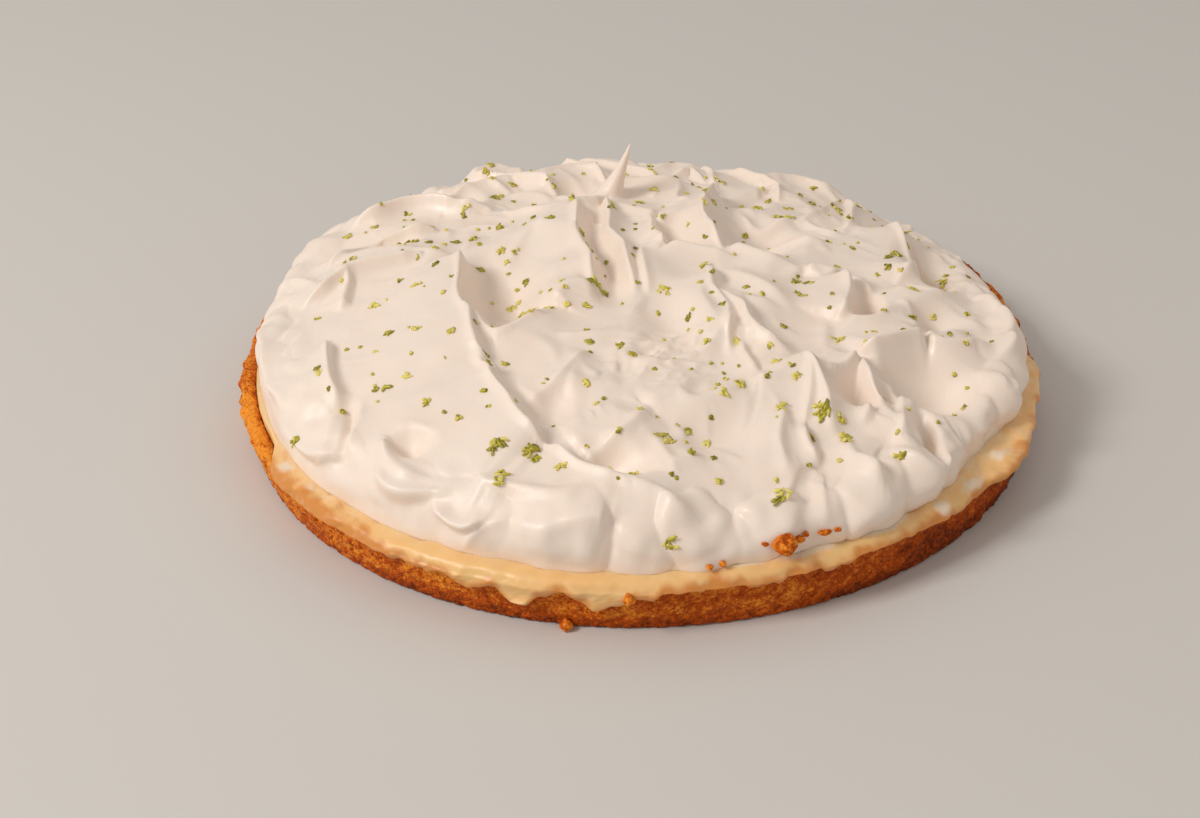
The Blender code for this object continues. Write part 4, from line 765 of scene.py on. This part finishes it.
# The puffs that the wall is made of. A puff lies at an angle and so far down the wall from its shoulder;
# it has a half width and a half height along the wall, and stands out by its bulge.
FRONT_PUFFS = [
    Puff(-160, 12, 26, 14, 1.6), Puff(-141, 13, 22, 14, 1.6), Puff(-125, 13, 22, 13, 1.8),
    Puff(-113, 13, 13, 12, 2.4), Puff(-102, 12, 15, 15, 3.6), Puff(-91.8, 15, 8.5, 11, 2.4),
    Puff(-84.6, 12, 11, 14, 4.2), Puff(-77.5, 17, 10, 9, 2.4), Puff(-73.6, 8.5, 10.5, 9, 4.6),
    Puff(-67.5, 12.5, 7, 10, 2.8), Puff(-60.3, 12, 11.5, 14, 6.0), Puff(-51.5, 10, 9.5, 12, 5.4),
    Puff(-44, 13, 9, 10, 2.2), Puff(-36, 9, 11, 12, 2.4), Puff(-27, 10, 10, 12, 4.2),
    Puff(-19.5, 9, 9, 13, 4.0), Puff(-11, 11, 10, 12, 3.8), Puff(-2, 9, 11, 13, 3.0),
]
BACK_PUFFS = dict(first=8.0, last=188.0, narrow=9.0, wide=19.0, least=1.4, most=3.6, seed=11)


def arc_points(start, via, end, count=14):
    """Points on an arc from start over via to end."""
    a, m, b = np.array(start, float), np.array(via, float), np.array(end, float)
    middle = 2 * m - (a + b) / 2
    t = np.linspace(0.0, 1.0, count + 1)[:, None]
    return (1 - t) ** 2 * a + 2 * t * (1 - t) * middle + t * t * b


def near_arc(x, y, points):
    """For each place: its distance to the line of points, signed + on the left, the share of the line's
    length there, and the line's left-hand normal."""
    best = np.full(x.shape, np.inf)
    side, share = np.zeros_like(x), np.zeros_like(x)
    normal_x, normal_y = np.zeros_like(x), np.zeros_like(x)
    for i, (p, q) in enumerate(zip(points[:-1], points[1:])):
        d = q - p
        length = np.hypot(*d)
        t = np.clip(((x - p[0]) * d[0] + (y - p[1]) * d[1]) / length**2, 0.0, 1.0)
        off_x, off_y = x - p[0] - t * d[0], y - p[1] - t * d[1]
        gap = np.hypot(off_x, off_y)
        nearer = gap < best
        best = np.where(nearer, gap, best)
        side = np.where(nearer, np.sign(d[0] * off_y - d[1] * off_x), side)
        share = np.where(nearer, (i + t) / (len(points) - 1), share)
        normal_x = np.where(nearer, -d[1] / length, normal_x)
        normal_y = np.where(nearer, d[0] / length, normal_y)
    return best * side, share, normal_x, normal_y


def crest_relief(x, y, s, points):
    """The height that a stroke's crest adds at each place, its fine lip, and how far it carries that place
    sideways."""
    distance, share, normal_x, normal_y = near_arc(x, y, points)
    width = np.where(distance > 0, s.left, s.right)
    sharp = min(1.0, abs(s.lean) / 1.2)         # a crest that hangs over is sharp, an upright one blunt
    blunt = CREST_ROUNDING + 1.1 * (1.0 - sharp) * min(1.0, min(s.left, s.right) / 8.0)
    away = np.sqrt(distance**2 + blunt**2) - blunt
    hollow = 2.0 - 0.7 * step(9, 30, width)     # a narrow flank is hollow, a broad one nearly straight
    flank = np.clip(1.0 - away / width, 0.0, 1.0) ** hollow
    ends = step(0.0, s.rise, share) * step(0.0, s.fall, 1.0 - share)
    lip_ends = step(0.0, 0.25 * s.rise, share) * step(0.0, 0.5 * s.fall, 1.0 - share)
    lip_height = LIP_HEIGHT * min(s.height / 5.0, 1.2) * (0.4 + 0.6 * sharp)
    lip = np.clip(1.0 - away / LIP_WIDTH, 0.0, 1.0) ** 2 * lip_ends * lip_height
    narrow = bump(distance / min(s.left, s.right)) * ends * s.lean
    return s.height * CREST_FULLNESS * flank * ends, lip, narrow * normal_x, narrow * normal_y


def back_strokes():
    """The strokes of the far side: one after another round the edge, each sweeping from inside outwards."""
    draw = np.random.default_rng(5)
    plan = BACK_STROKES
    for angle in np.linspace(plan["first"], plan["last"], plan["count"]):
        a = math.radians(angle + draw.uniform(-4, 4))
        b = a + math.radians(plan["sweep"] + draw.uniform(-6, 8))
        inner, outer = plan["inner"] + draw.uniform(8, 24), plan["outer"] + draw.uniform(-4, 5)
        between = (inner + outer) / 2 + draw.uniform(1, 4)
        c = a + (b - a) * 0.35
        start = (inner * math.cos(a), inner * math.sin(a))
        via = (between * math.cos(c), between * math.sin(c))
        end = (outer * math.cos(b), outer * math.sin(b))
        yield stroke(start, via, end, plan["height"] + draw.uniform(-1.6, 1.4), 8, 18, 1.2)


def small_strokes():
    """Slight crests between the large ones."""
    draw = np.random.default_rng(23)
    for _ in range(SMALL_CRESTS):
        radius = SMALL_CRESTS_REACH * math.sqrt(draw.uniform(0.02, 1))
        angle = draw.uniform(0, 2 * math.pi)
        heading, length = draw.normal(-0.9, 0.7), draw.uniform(12, 30)
        x, y = radius * math.cos(angle), radius * math.sin(angle)
        along, bow = (length * math.cos(heading), length * math.sin(heading)), draw.uniform(-0.13, 0.13)
        via = (x + along[0] / 2 - along[1] * bow, y + along[1] / 2 + along[0] * bow)
        height = draw.uniform(0.6, 2.0)
        if x < -45 and y < 10:
            height *= 0.35      # the broad left flank was swept smooth
        left, right, lean = draw.uniform(2.5, 8), draw.uniform(5, 12), draw.uniform(0, 0.9)
        end = (x + along[0], y + along[1])
        yield stroke((x, y), via, end, height, left, right, lean, rise=0.35, fall=0.35)


def fine_strokes():
    """Fine wrinkles that the spoon's edge left, a few side by side."""
    draw = np.random.default_rng(61)
    for _ in range(WRINKLE_GROUPS):
        radius, angle = WRINKLES_REACH * math.sqrt(draw.uniform(0, 1)), draw.uniform(0, 2 * math.pi)
        heading, length, height = draw.normal(-0.9, 0.7), draw.uniform(7, 20), draw.uniform(0.35, 1.15)
        ahead = np.array((math.cos(heading), math.sin(heading)))
        aside = np.array((-ahead[1], ahead[0]))
        place = radius * np.array((math.cos(angle), math.sin(angle)))
        for _ in range(draw.integers(1, 5)):
            place = place + aside * draw.uniform(1.6, 4.5) + ahead * draw.normal(0, 2.0)
            end = place + length * draw.uniform(0.6, 1.1) * (ahead + aside * draw.normal(0, 0.12))
            via = (place + end) / 2 + aside * length * draw.normal(0, 0.06)
            left, right = draw.uniform(1.4, 3), draw.uniform(2, 5)
            high = height * draw.uniform(0.6, 1.2)
            yield stroke(place, via, end, high, left, right, 0.5, rise=0.4, fall=0.4)


def foot_radius(angle):
    """The radius of the meringue's foot at an angle in degrees."""
    radius = MERINGUE_RADIUS + 2.6 * np.cos(np.radians(angle + 95)) + 0.8 * bump(angle_gap(angle, -93) / 16)
    return radius - 3.2 * bump(angle_gap(angle, -38) / 13) + 1.2 * bump(angle_gap(angle, 45) / 40)


def edge_height(angle):
    """The height of the meringue's shoulder at an angle: high at the left, low at the back right."""
    height = MERINGUE_EDGE + 3.0 * np.cos(np.radians(angle - 170))
    height += 3.0 * bump(angle_gap(angle, 152) / 30) + 2.0 * bump(angle_gap(angle, -15) / 22)
    return height - 4.6 * bump(angle_gap(angle, 44) / 52)


def unrolled(place):
    """A place in the plan, with the wall laid out flat beyond the shoulder."""
    radius, angle = math.hypot(*place), math.degrees(math.atan2(place[1], place[0]))
    shoulder_at = float(foot_radius(angle)) - SHOULDER
    if radius <= shoulder_at:
        return place
    turn = math.acos(1.0 - max(SHOULDER + shoulder_at - radius, 0.0) / SHOULDER)
    out = shoulder_at + WALL_LENGTH * (1.0 - turn / (math.pi / 2))
    return place[0] * out / radius, place[1] * out / radius


def all_puffs():
    """The puffs of the wall all round."""
    plan = BACK_PUFFS
    draw = np.random.default_rng(plan["seed"])
    puffs, at = list(FRONT_PUFFS), plan["first"]
    while at < plan["last"]:
        half = draw.uniform(plan["narrow"], plan["wide"])
        degrees = math.degrees(half / MERINGUE_RADIUS)
        at += degrees * 0.85
        down, tall = draw.uniform(7, 14), draw.uniform(8, 13)
        bulge = draw.uniform(plan["least"], plan["most"])
        puffs.append(Puff(at, down, half, tall, bulge))
        at += degrees * 0.85
    return puffs


def puff_bulge(angle, down):
    """How far the wall stands out at so far down from its shoulder: uneven puffs with creases between."""
    flat_x = (MERINGUE_RADIUS + down) * np.cos(np.radians(angle))
    flat_y = (MERINGUE_RADIUS + down) * np.sin(np.radians(angle))
    aside, aslant = 1.7 * waves(flat_x, flat_y, 19, 21), 1.9 * waves(flat_x, flat_y, 15, 22)
    bulge = np.zeros_like(down)
    for puff in all_puffs():
        u = (np.radians(angle_gap(angle, puff.angle)) * MERINGUE_RADIUS + aside) / puff.half_width
        v = (down + aslant - puff.down) / puff.half_height
        bulge += (puff.bulge * np.clip(1.0 - u**2 - v**2, 0.0, 1.0) ** 0.75) ** 3
    lumps = 0.3 * waves(flat_x, flat_y, 12, 31) + 0.07 * waves(flat_x, flat_y, 6, 32)
    return np.cbrt(bulge) + lumps * step(-8, 2, down)


def mound_height(x, y):
    """The height of the meringue's mound without the marks of the spoon."""
    radius, angle = np.hypot(x, y), np.degrees(np.arctan2(y, x))
    edge = edge_height(angle)
    share = np.clip(radius / foot_radius(angle), 0.0, 1.0)
    return edge + (MERINGUE_CENTRE - edge) * (1.0 - share**2.2)


def top_relief(x, y):
    """What the spoon did to the mound at each place of the unrolled plan: the height it added, and how far it
    carried that place sideways. Crests that meet run into one another."""
    warp_x, warp_y = x + 1.0 * waves(x, y, 26, 3), y + 1.0 * waves(x, y, 26, 4)
    crests, lips = np.zeros_like(x), np.zeros_like(x)
    shift_x, shift_y = np.zeros_like(x), np.zeros_like(x)
    for s in [*STROKES, *back_strokes(), *small_strokes(), *fine_strokes()]:
        points = arc_points(unrolled(s.start), unrolled(s.via), unrolled(s.end))
        low, high = points.min(axis=0) - max(s.left, s.right), points.max(axis=0) + max(s.left, s.right)
        near = (warp_x > low[0]) & (warp_x < high[0]) & (warp_y > low[1]) & (warp_y < high[1])
        rise, lip, over_x, over_y = crest_relief(warp_x[near], warp_y[near], s, points)
        crests[near] += rise**CREST_MEETING
        lips[near] = np.maximum(lips[near], lip)
        shift_x[near] += over_x
        shift_y[near] += over_y
    height = crests ** (1.0 / CREST_MEETING) + lips
    for hollow in HOLLOWS:
        turn = math.radians(hollow.turn)
        dx, dy = warp_x - hollow.centre[0], warp_y - hollow.centre[1]
        u = (dx * math.cos(turn) + dy * math.sin(turn)) / hollow.radii[0]
        v = (dy * math.cos(turn) - dx * math.sin(turn)) / hollow.radii[1]
        height -= hollow.depth * bump(np.hypot(u, v) / 1.25)
    for peak in PEAKS:
        q = np.clip(1.0 - np.hypot(x - peak.centre[0], y - peak.centre[1]) / peak.radius, 0.0, 1.0)
        height += peak.height * (0.35 * q**1.6 + 0.65 * q**3.4)
        shift_x += peak.lean[0] * q**2
        shift_y += peak.lean[1] * q**2
    for torn in TORN:
        near = bump(np.hypot(x - torn.centre[0], y - torn.centre[1]) / (1.3 * torn.radius))
        creases = 1.8 * np.abs(waves(x, y, 15, 41)) + 0.6 * np.abs(waves(x, y, 7, 42))
        height += near * torn.height * (1.0 - creases)
    height += 0.7 * waves(x, y, 34, 8) + 0.12 * waves(x, y, 11, 9)
    return height, shift_x, shift_y


def cap_plan(cells):
    """A square grid pressed onto a disc: the share of the way out, and the angle, of each of its points."""
    a, b = np.meshgrid(np.linspace(-1, 1, cells + 1), np.linspace(-1, 1, cells + 1))
    share = np.maximum(np.abs(a), np.abs(b))
    safe = np.where(share == 0, 1.0, share)
    wide = np.abs(a) > np.abs(b)
    large, small = np.where(wide, a, b), np.where(wide, b, a)
    turn = math.pi / 4 * small / np.where(large == 0, safe, large)
    turn = np.where(wide, turn, math.pi / 2 - turn)
    turn = np.where(large < 0, turn + math.pi, turn)
    return share, np.degrees(turn)


def meringue_points(cells, foot):
    """The points of the meringue's outside on a grid of cells, from its top down to its foot."""
    share, angle = cap_plan(cells)
    shoulder_at = foot_radius(angle) - SHOULDER
    plan = shoulder_at * np.minimum(share / (1.0 - WALL_SHARE), 1.0)
    down = WALL_LENGTH * np.clip((share - 1.0 + WALL_SHARE) / WALL_SHARE, 0.0, 1.0)
    turn = (1.0 - down / WALL_LENGTH) * math.pi / 2
    cos, sin = np.cos(np.radians(angle)), np.sin(np.radians(angle))
    relief, shift_x, shift_y = top_relief((plan + down) * cos, (plan + down) * sin)
    out = plan + SHOULDER * np.cos(turn)
    mound = mound_height(out * cos, out * sin)
    # the wall's share of the relief stands out level, and both die away above the foot
    kept = step(0.0, 7.0, WALL_LENGTH - down)
    held = 0.5 * spill_share(angle)
    low = held + (1.0 - held) * step(0.0, 9.0, WALL_LENGTH - down)
    belly = 3.2 * bump(angle_gap(angle, 160) / 38) * bump((down - 12) / 14)
    wide = puff_bulge(angle, down + plan - shoulder_at) + belly
    out += relief * kept * np.cos(turn) + wide * np.cos(turn * 0.6) * low
    z = foot + (mound - foot + relief * kept) * np.sin(turn) + 0.8 * wide * np.sin(turn * 0.6) * kept
    fullness = np.sin(turn)
    x, y = out * cos + shift_x * fullness, out * sin + shift_y * fullness
    return x, y, np.maximum(z, foot)


def meringue_mesh():
    """The meringue as a closed mesh, its flat base sunk slightly into the cream."""
    cells = MERINGUE_CELLS
    foot = CREAM_LEVEL - MERINGUE_SUNK
    x, y, z = meringue_points(cells, foot)
    count = (cells + 1) ** 2
    co = np.empty((count + 1, 3))
    co[:count] = np.stack([x, y, z], -1).reshape(-1, 3)
    co[count] = (0, 0, foot)
    index = np.arange(count).reshape(cells + 1, cells + 1)
    quads = np.stack([index[:-1, :-1], index[:-1, 1:], index[1:, 1:], index[1:, :-1]], -1).reshape(-1, 4)
    border = np.concatenate([index[0, :-1], index[:-1, -1], index[-1, :0:-1], index[:0:-1, 0]])
    base = np.stack([border, np.full(len(border), count), np.roll(border, -1)], -1)
    mesh = bpy.data.meshes.new("meringue")
    mesh.from_pydata((co * MM).tolist(), [], quads.tolist() + base.tolist())
    mesh.shade_smooth()
    return mesh


def meringue_material():
    """Whipped egg white: warm white, satin, and a little see-through at its crests."""
    material, nodes, links, shader = new_material("meringue", 0.45)
    mottle = mottle_node(nodes, 38.0, 900.0)
    clouds = mapped(nodes, links, mottle.outputs["Mask"], 0.0, 0.3)
    colour = mixed_colour(nodes, links, clouds, MERINGUE_COLOUR, MERINGUE_DEEP)
    links.new(colour, shader.inputs["Base Color"])
    links.new(mapped(nodes, links, mottle.outputs["Mask"], 0.36, 0.49), shader.inputs["Roughness"])
    give_relief(nodes, links, shader, mottle.outputs["Height"], 0.00012, 0.5)
    let_light_in(shader, 0.25, 0.0016, (1.0, 0.72, 0.52))
    return material


meringue = add_piece("swept_meringue", meringue_mesh(), meringue_material())
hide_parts("meringue")


# The lime zest
# Green peel taken off with a fine grater, dropped in pinches and strewn over the top. Each bit is a clump
# of short curled shreds, dark where it is the outer skin and yellow-green where it is pith.
# Pinches of it: the middle and radius of each, how many clumps it has and how long they are
Patch = namedtuple("Patch", "centre radius count length")
ZEST_PATCHES = [
    Patch((-31, -97), 2.6, 3, 4.2), Patch((-42, -97), 2.6, 3, 4.4), Patch((-41, -107), 3.2, 3, 4.0),
    Patch((5, -91), 2.4, 3, 4.2), Patch((48, -80), 3.0, 3, 4.4), Patch((54, -86), 4.0, 3, 3.4),
    Patch((34, -113), 1.0, 1, 4.6), Patch((67, -96), 1.2, 1, 4.8), Patch((-13, 6), 3.0, 2, 4.0),
    Patch((-35, -34), 1.5, 2, 4.0), Patch((-13, -16), 3.0, 2, 3.8), Patch((7, -17), 1.0, 1, 6.4),
    Patch((-39, -20), 1.5, 1, 4.4), Patch((-70, 64), 5.0, 2, 4.2), Patch((-89, 55), 2.0, 1, 4.6),
    Patch((-82, -15), 2.0, 1, 3.8), Patch((-78, 22), 6.0, 2, 3.8), Patch((85, 13), 2.0, 1, 4.6),
    Patch((52, 47), 5.0, 3, 4.2), Patch((-48, 64), 2.0, 1, 4.2), Patch((28, -70), 2.0, 1, 3.8),
    Patch((82, -14), 4.0, 1, 4.2), Patch((2, -126), 1.0, 1, 4.0), Patch((-100, -74), 4.0, 1, 3.8),
]
ZEST_STREWN = 390           # clumps over the whole top, besides those in the patches
ZEST_REACH = 112.0          # radius out to which they are strewn
SHRED_DARK = (0.22, 0.195, 0.008)
SHRED_GREEN = (0.56, 0.49, 0.035)
SHRED_PALE = (0.90, 0.79, 0.21)


def zest_places():
    """Each clump of zest: its place in the plan, its length and its heading. The patches come first."""
    draw = np.random.default_rng(77)
    for patch in ZEST_PATCHES:
        for _ in range(patch.count):
            away, turn = patch.radius * math.sqrt(draw.uniform(0, 1)), draw.uniform(0, 2 * math.pi)
            place = (patch.centre[0] + away * math.cos(turn), patch.centre[1] + away * math.sin(turn))
            yield place, patch.length * draw.uniform(0.8, 1.15), draw.uniform(0, math.pi)
    for _ in range(ZEST_STREWN):
        away, turn = ZEST_REACH * math.sqrt(draw.uniform(0, 1)), draw.uniform(0, 2 * math.pi)
        length = 1.1 + 2.3 * draw.uniform(0, 1) ** 1.5
        yield (away * math.cos(turn), away * math.sin(turn)), length, draw.uniform(0, math.pi)


def shred(draw, length, width):
    """One curled shred of peel along X, as rings of four points: a bent, twisted strip with torn edges."""
    bend, twist, arch = draw.uniform(-0.5, 0.5), draw.uniform(-1.2, 1.2), draw.uniform(0.05, 0.5)
    steps = 6
    rings = []
    for k in range(steps + 1):
        t = k / steps - 0.5
        middle = np.array((length * t, length * bend * t * t, length * arch * (0.25 - t * t)))
        half = 0.5 * width * (1.0 - (1.8 * t) ** 4) * draw.uniform(0.65, 1.2) + 0.06
        turn = twist * t * 2
        side = np.array((0.0, math.cos(turn), math.sin(turn))) * half
        up = np.array((0.0, -math.sin(turn), math.cos(turn))) * 0.11
        rings.append((middle + side + up, middle - side + up, middle - side - up, middle + side - up))
    return np.array(rings)


def heaped(parts):
    """One list of points and faces from several strips of rings of four, and how many points each has."""
    points, faces = [], []
    for rings in parts:
        start = len(points)
        points.extend(rings.reshape(-1, 3))
        for k in range(len(rings) - 1):
            for i in range(4):
                j = (i + 1) % 4
                a, b = start + 4 * k, start + 4 * (k + 1)
                faces.append((a + i, a + j, b + j, b + i))
        last = start + 4 * (len(rings) - 1)
        faces.append((start + 3, start + 2, start + 1, start))
        faces.append((last, last + 1, last + 2, last + 3))
    return points, faces


def zest_mesh(ground):
    """All the zest, each clump lying on the meringue where it fell."""
    parts, tones = [], []
    for number, ((x, y), length, heading) in enumerate(zest_places()):
        draw = np.random.default_rng(1000 + number)
        place, normal, _, _ = ground.ray_cast(Vector((x, y, 90.0)), Vector((0, 0, -1)))
        if place is None or place.z < CREAM_LEVEL + 6:
            place, normal, _, _ = ground.find_nearest(Vector((x, y, CREAM_LEVEL + 9)))
        lie = normal.to_track_quat("Z", "X").to_matrix()
        clump = int(round(draw.uniform(1.0, 2.2) * length))
        tone = draw.uniform(0.0, 1.0)
        for _ in range(max(1, clump)):
            spin = Matrix.Rotation(heading + draw.normal(0, 0.7), 3, "Z")
            spin = spin @ Matrix.Rotation(draw.uniform(-0.5, 0.5), 3, "X")
            bit = draw.uniform(0.55, 1.0) * min(length, 3.2)
            rings = shred(draw, bit, draw.uniform(0.5, 1.15))
            off_x, off_y = draw.normal(0, 0.2) * length, draw.normal(0, 0.16) * length
            off = Vector((off_x, off_y, draw.uniform(0.0, 0.3)))
            turned = rings.reshape(-1, 3) @ np.array(lie @ spin).T + np.array(place + lie @ off)
            parts.append(turned.reshape(rings.shape))
            tones.append(np.clip(tone + draw.normal(0, 0.28), 0, 1))
    points, faces = heaped(parts)
    mesh = bpy.data.meshes.new("lime_zest")
    mesh.from_pydata((np.array(points) * MM).tolist(), [], faces)
    mesh.update()
    mesh.shade_smooth()
    each = len(parts[0].reshape(-1, 3))
    draw = np.random.default_rng(4)
    paint(mesh, "tone", np.repeat(tones, each) + draw.normal(0, 0.12, each * len(parts)))
    return mesh


def zest_material():
    """Grated lime peel: moist, dark olive green to pale yellow-green, each shred of its own tone."""
    material, nodes, links, shader = new_material("lime zest", 0.42)
    tint = colour_steps(nodes, (0.0, SHRED_DARK), (0.45, SHRED_GREEN), (0.95, SHRED_PALE))
    mottle = mottle_node(nodes, 800.0, 2500.0)
    blend = nodes.new("ShaderNodeMath")
    blend.operation = "MULTIPLY_ADD"
    blend.inputs[1].default_value = 0.25
    links.new(mottle.outputs["Mask"], blend.inputs[0])
    links.new(kept_value(nodes, "tone"), blend.inputs[2])
    links.new(blend.outputs[0], tint.inputs["Fac"])
    links.new(tint.outputs["Color"], shader.inputs["Base Color"])
    give_relief(nodes, links, shader, mottle.outputs["Height"], 0.0002)
    let_light_in(shader, 0.2, 0.0006, (0.6, 1.0, 0.2))
    return material


def ground_of(*pieces):
    """The surface of these pieces together, in millimetres, for things to be laid on."""
    points, faces = [], []
    for piece in pieces:
        faces.extend(tuple(i + len(points) for i in p.vertices) for p in piece.data.polygons)
        points.extend(places(piece.data).tolist())
    return BVHTree.FromPolygons(points, faces)


add_piece("lime_zest", zest_mesh(ground_of(meringue)), zest_material())


# Loose crumbs
# Crumbs that came off the rim. A round one and some small ones are stuck to the meringue at the front, one
# with a browned drop below it sits on the cream, and one lies at the foot of the crust.
Crumb = namedtuple("Crumb", "angle height radius stretch sunk")
CRUMBS = [
    Crumb(-74.2, 23.5, 3.1, 1.0, 0.6), Crumb(-76.6, 24.0, 0.6, 1.8, 0.2), Crumb(-71.9, 22.6, 1.1, 1.3, 0.3),
    Crumb(-71.0, 23.6, 0.8, 1.0, 0.2), Crumb(-68.6, 23.2, 0.9, 2.2, 0.3), Crumb(-67.0, 23.6, 0.7, 1.4, 0.2),
    Crumb(-83.6, 19.9, 0.8, 1.2, 0.2), Crumb(-81.9, 20.0, 0.9, 1.0, 0.2),
    Crumb(-93.2, 13.8, 1.9, 0.9, 1.5), Crumb(-93.0, 11.2, 1.0, 0.8, 0.6), Crumb(-101, 1.7, 1.6, 1.1, -0.4),
]


def crumb_ball(draw, radius, stretch):
    """An uneven ball of crumb, stretch times as long along X: its points, its faces and its shade."""
    bm = bmesh.new()
    bmesh.ops.create_icosphere(bm, subdivisions=4, radius=1.0)
    points = np.array([v.co for v in bm.verts])
    faces = [tuple(v.index for v in f.verts) for f in bm.faces]
    bm.free()
    offset = draw.uniform(20, 200, 3)
    grain, shade = crumbs(points * radius + offset, max(0.9, radius * 0.5), 6)
    uneven = waves(points[:, 0] * 5, points[:, 1] * 5 + points[:, 2] * 3, 6, int(offset[0]))
    rough = 1.0 + 0.28 * (grain - 0.5) + 0.08 * uneven
    # the shade is each grain's own tone, with painted shade in the dips between the grains and painted light
    # on their tops
    return points * rough[:, None] * radius * (stretch, 1.0, 0.9), faces, 0.42 * shade + 0.2 * grain


def crumbs_mesh(ground):
    """All the loose crumbs, each stuck where a level line in to the pie's middle first meets its side."""
    points, faces, shades = [], [], []
    for number, crumb in enumerate(CRUMBS):
        draw = np.random.default_rng(300 + number)
        a = math.radians(crumb.angle)
        out = Vector((math.cos(a), math.sin(a), 0.0))
        place, _, _, _ = ground.ray_cast(out * 150 + Vector((0, 0, crumb.height)), -out)
        ball, ball_faces, shade = crumb_ball(draw, crumb.radius, crumb.stretch)
        turn = Matrix.Rotation(a + math.pi / 2, 3, "Z") @ Matrix.Rotation(draw.uniform(-0.4, 0.4), 3, "Y")
        ball = ball @ np.array(turn).T + np.array(place + out * (0.7 * crumb.radius - crumb.sunk))
        faces.extend(tuple(i + len(points) for i in f) for f in ball_faces)
        points.extend(ball)
        shades.extend(shade)
    mesh = bpy.data.meshes.new("loose_crumbs")
    mesh.from_pydata((np.array(points) * MM).tolist(), [], faces)
    mesh.shade_smooth()
    paint(mesh, "shade", shades)
    paint(mesh, "browning_and_painted_light", np.full(len(shades), -0.08))
    return mesh


ground = ground_of(crust, cream, meringue)
loose = add_piece("loose_crumbs", crumbs_mesh(ground), crumb_material("loose crumb", 1200.0, 0.0003))


# The floor and the light
# A plain pale floor, and soft light from a large window-like lamp at the left.
FLOOR_COLOUR = (0.66, 0.645, 0.62)
FLOOR_SIZE = 6.0            # metres
KEY_PLACE = Vector((-1.20, -0.62, 1.24))    # metres
KEY_AIM = Vector((0.0, 0.0, 0.03))
KEY_SIZE, KEY_POWER = 0.5, 16.4
KEY_COLOUR = (1.0, 0.97, 0.935)
SKY_COLOUR, SKY_STRENGTH = (1.0, 0.92, 0.845), 0.52

floor_mesh = bpy.data.meshes.new("floor")
half = FLOOR_SIZE / 2
corners = [(-half, -half, 0), (half, -half, 0), (half, half, 0), (-half, half, 0)]
floor_mesh.from_pydata(corners, [], [(0, 1, 2, 3)])
floor = bpy.data.objects.new("floor", floor_mesh)
bpy.context.scene.collection.objects.link(floor)
floor_material, _, _, floor_shader = new_material("floor", 0.7)
floor_shader.inputs["Base Color"].default_value = (*FLOOR_COLOUR, 1.0)
floor_mesh.materials.append(floor_material)

key_data = bpy.data.lights.new("window light", "AREA")
key_data.energy = KEY_POWER
key_data.size = KEY_SIZE
key_data.color = KEY_COLOUR
key = bpy.data.objects.new("window light", key_data)
key.location = KEY_PLACE
key.rotation_euler = (KEY_AIM - KEY_PLACE).to_track_quat("-Z", "Y").to_euler()
bpy.context.scene.collection.objects.link(key)

sky = bpy.data.worlds.new("room light")
sky.use_nodes = True
sky.node_tree.nodes["Background"].inputs["Color"].default_value = (*SKY_COLOUR, 1.0)
sky.node_tree.nodes["Background"].inputs["Strength"].default_value = SKY_STRENGTH
bpy.context.scene.world = sky
bpy.context.scene.view_settings.view_transform = "Standard"


# The camera
# It stands in front of the pie, a little above it, and is held very slightly out of level.
CAMERA_PLACE = Vector((-13.487, -475.048, 285.084)) * MM
CAMERA_DOWN = math.radians(31.623)
CAMERA_ROLL = math.radians(-1.696)
LENS, SENSOR = 50.0, 36.0

forward = Vector((0.0, math.cos(CAMERA_DOWN), -math.sin(CAMERA_DOWN)))
level_right = Vector((1.0, 0.0, 0.0))
level_up = Vector((0.0, math.sin(CAMERA_DOWN), math.cos(CAMERA_DOWN)))
camera_right = math.cos(CAMERA_ROLL) * level_right + math.sin(CAMERA_ROLL) * level_up
camera_up = math.cos(CAMERA_ROLL) * level_up - math.sin(CAMERA_ROLL) * level_right
camera_data = bpy.data.cameras.new("camera")
camera_data.lens = LENS
camera_data.sensor_width = SENSOR
camera_data.clip_start = 0.01
camera = bpy.data.objects.new("camera", camera_data)
bpy.context.scene.collection.objects.link(camera)
camera_axes = Matrix((camera_right, camera_up, -forward)).transposed()
camera.matrix_world = Matrix.Translation(CAMERA_PLACE) @ camera_axes.to_4x4()
bpy.context.scene.camera = camera
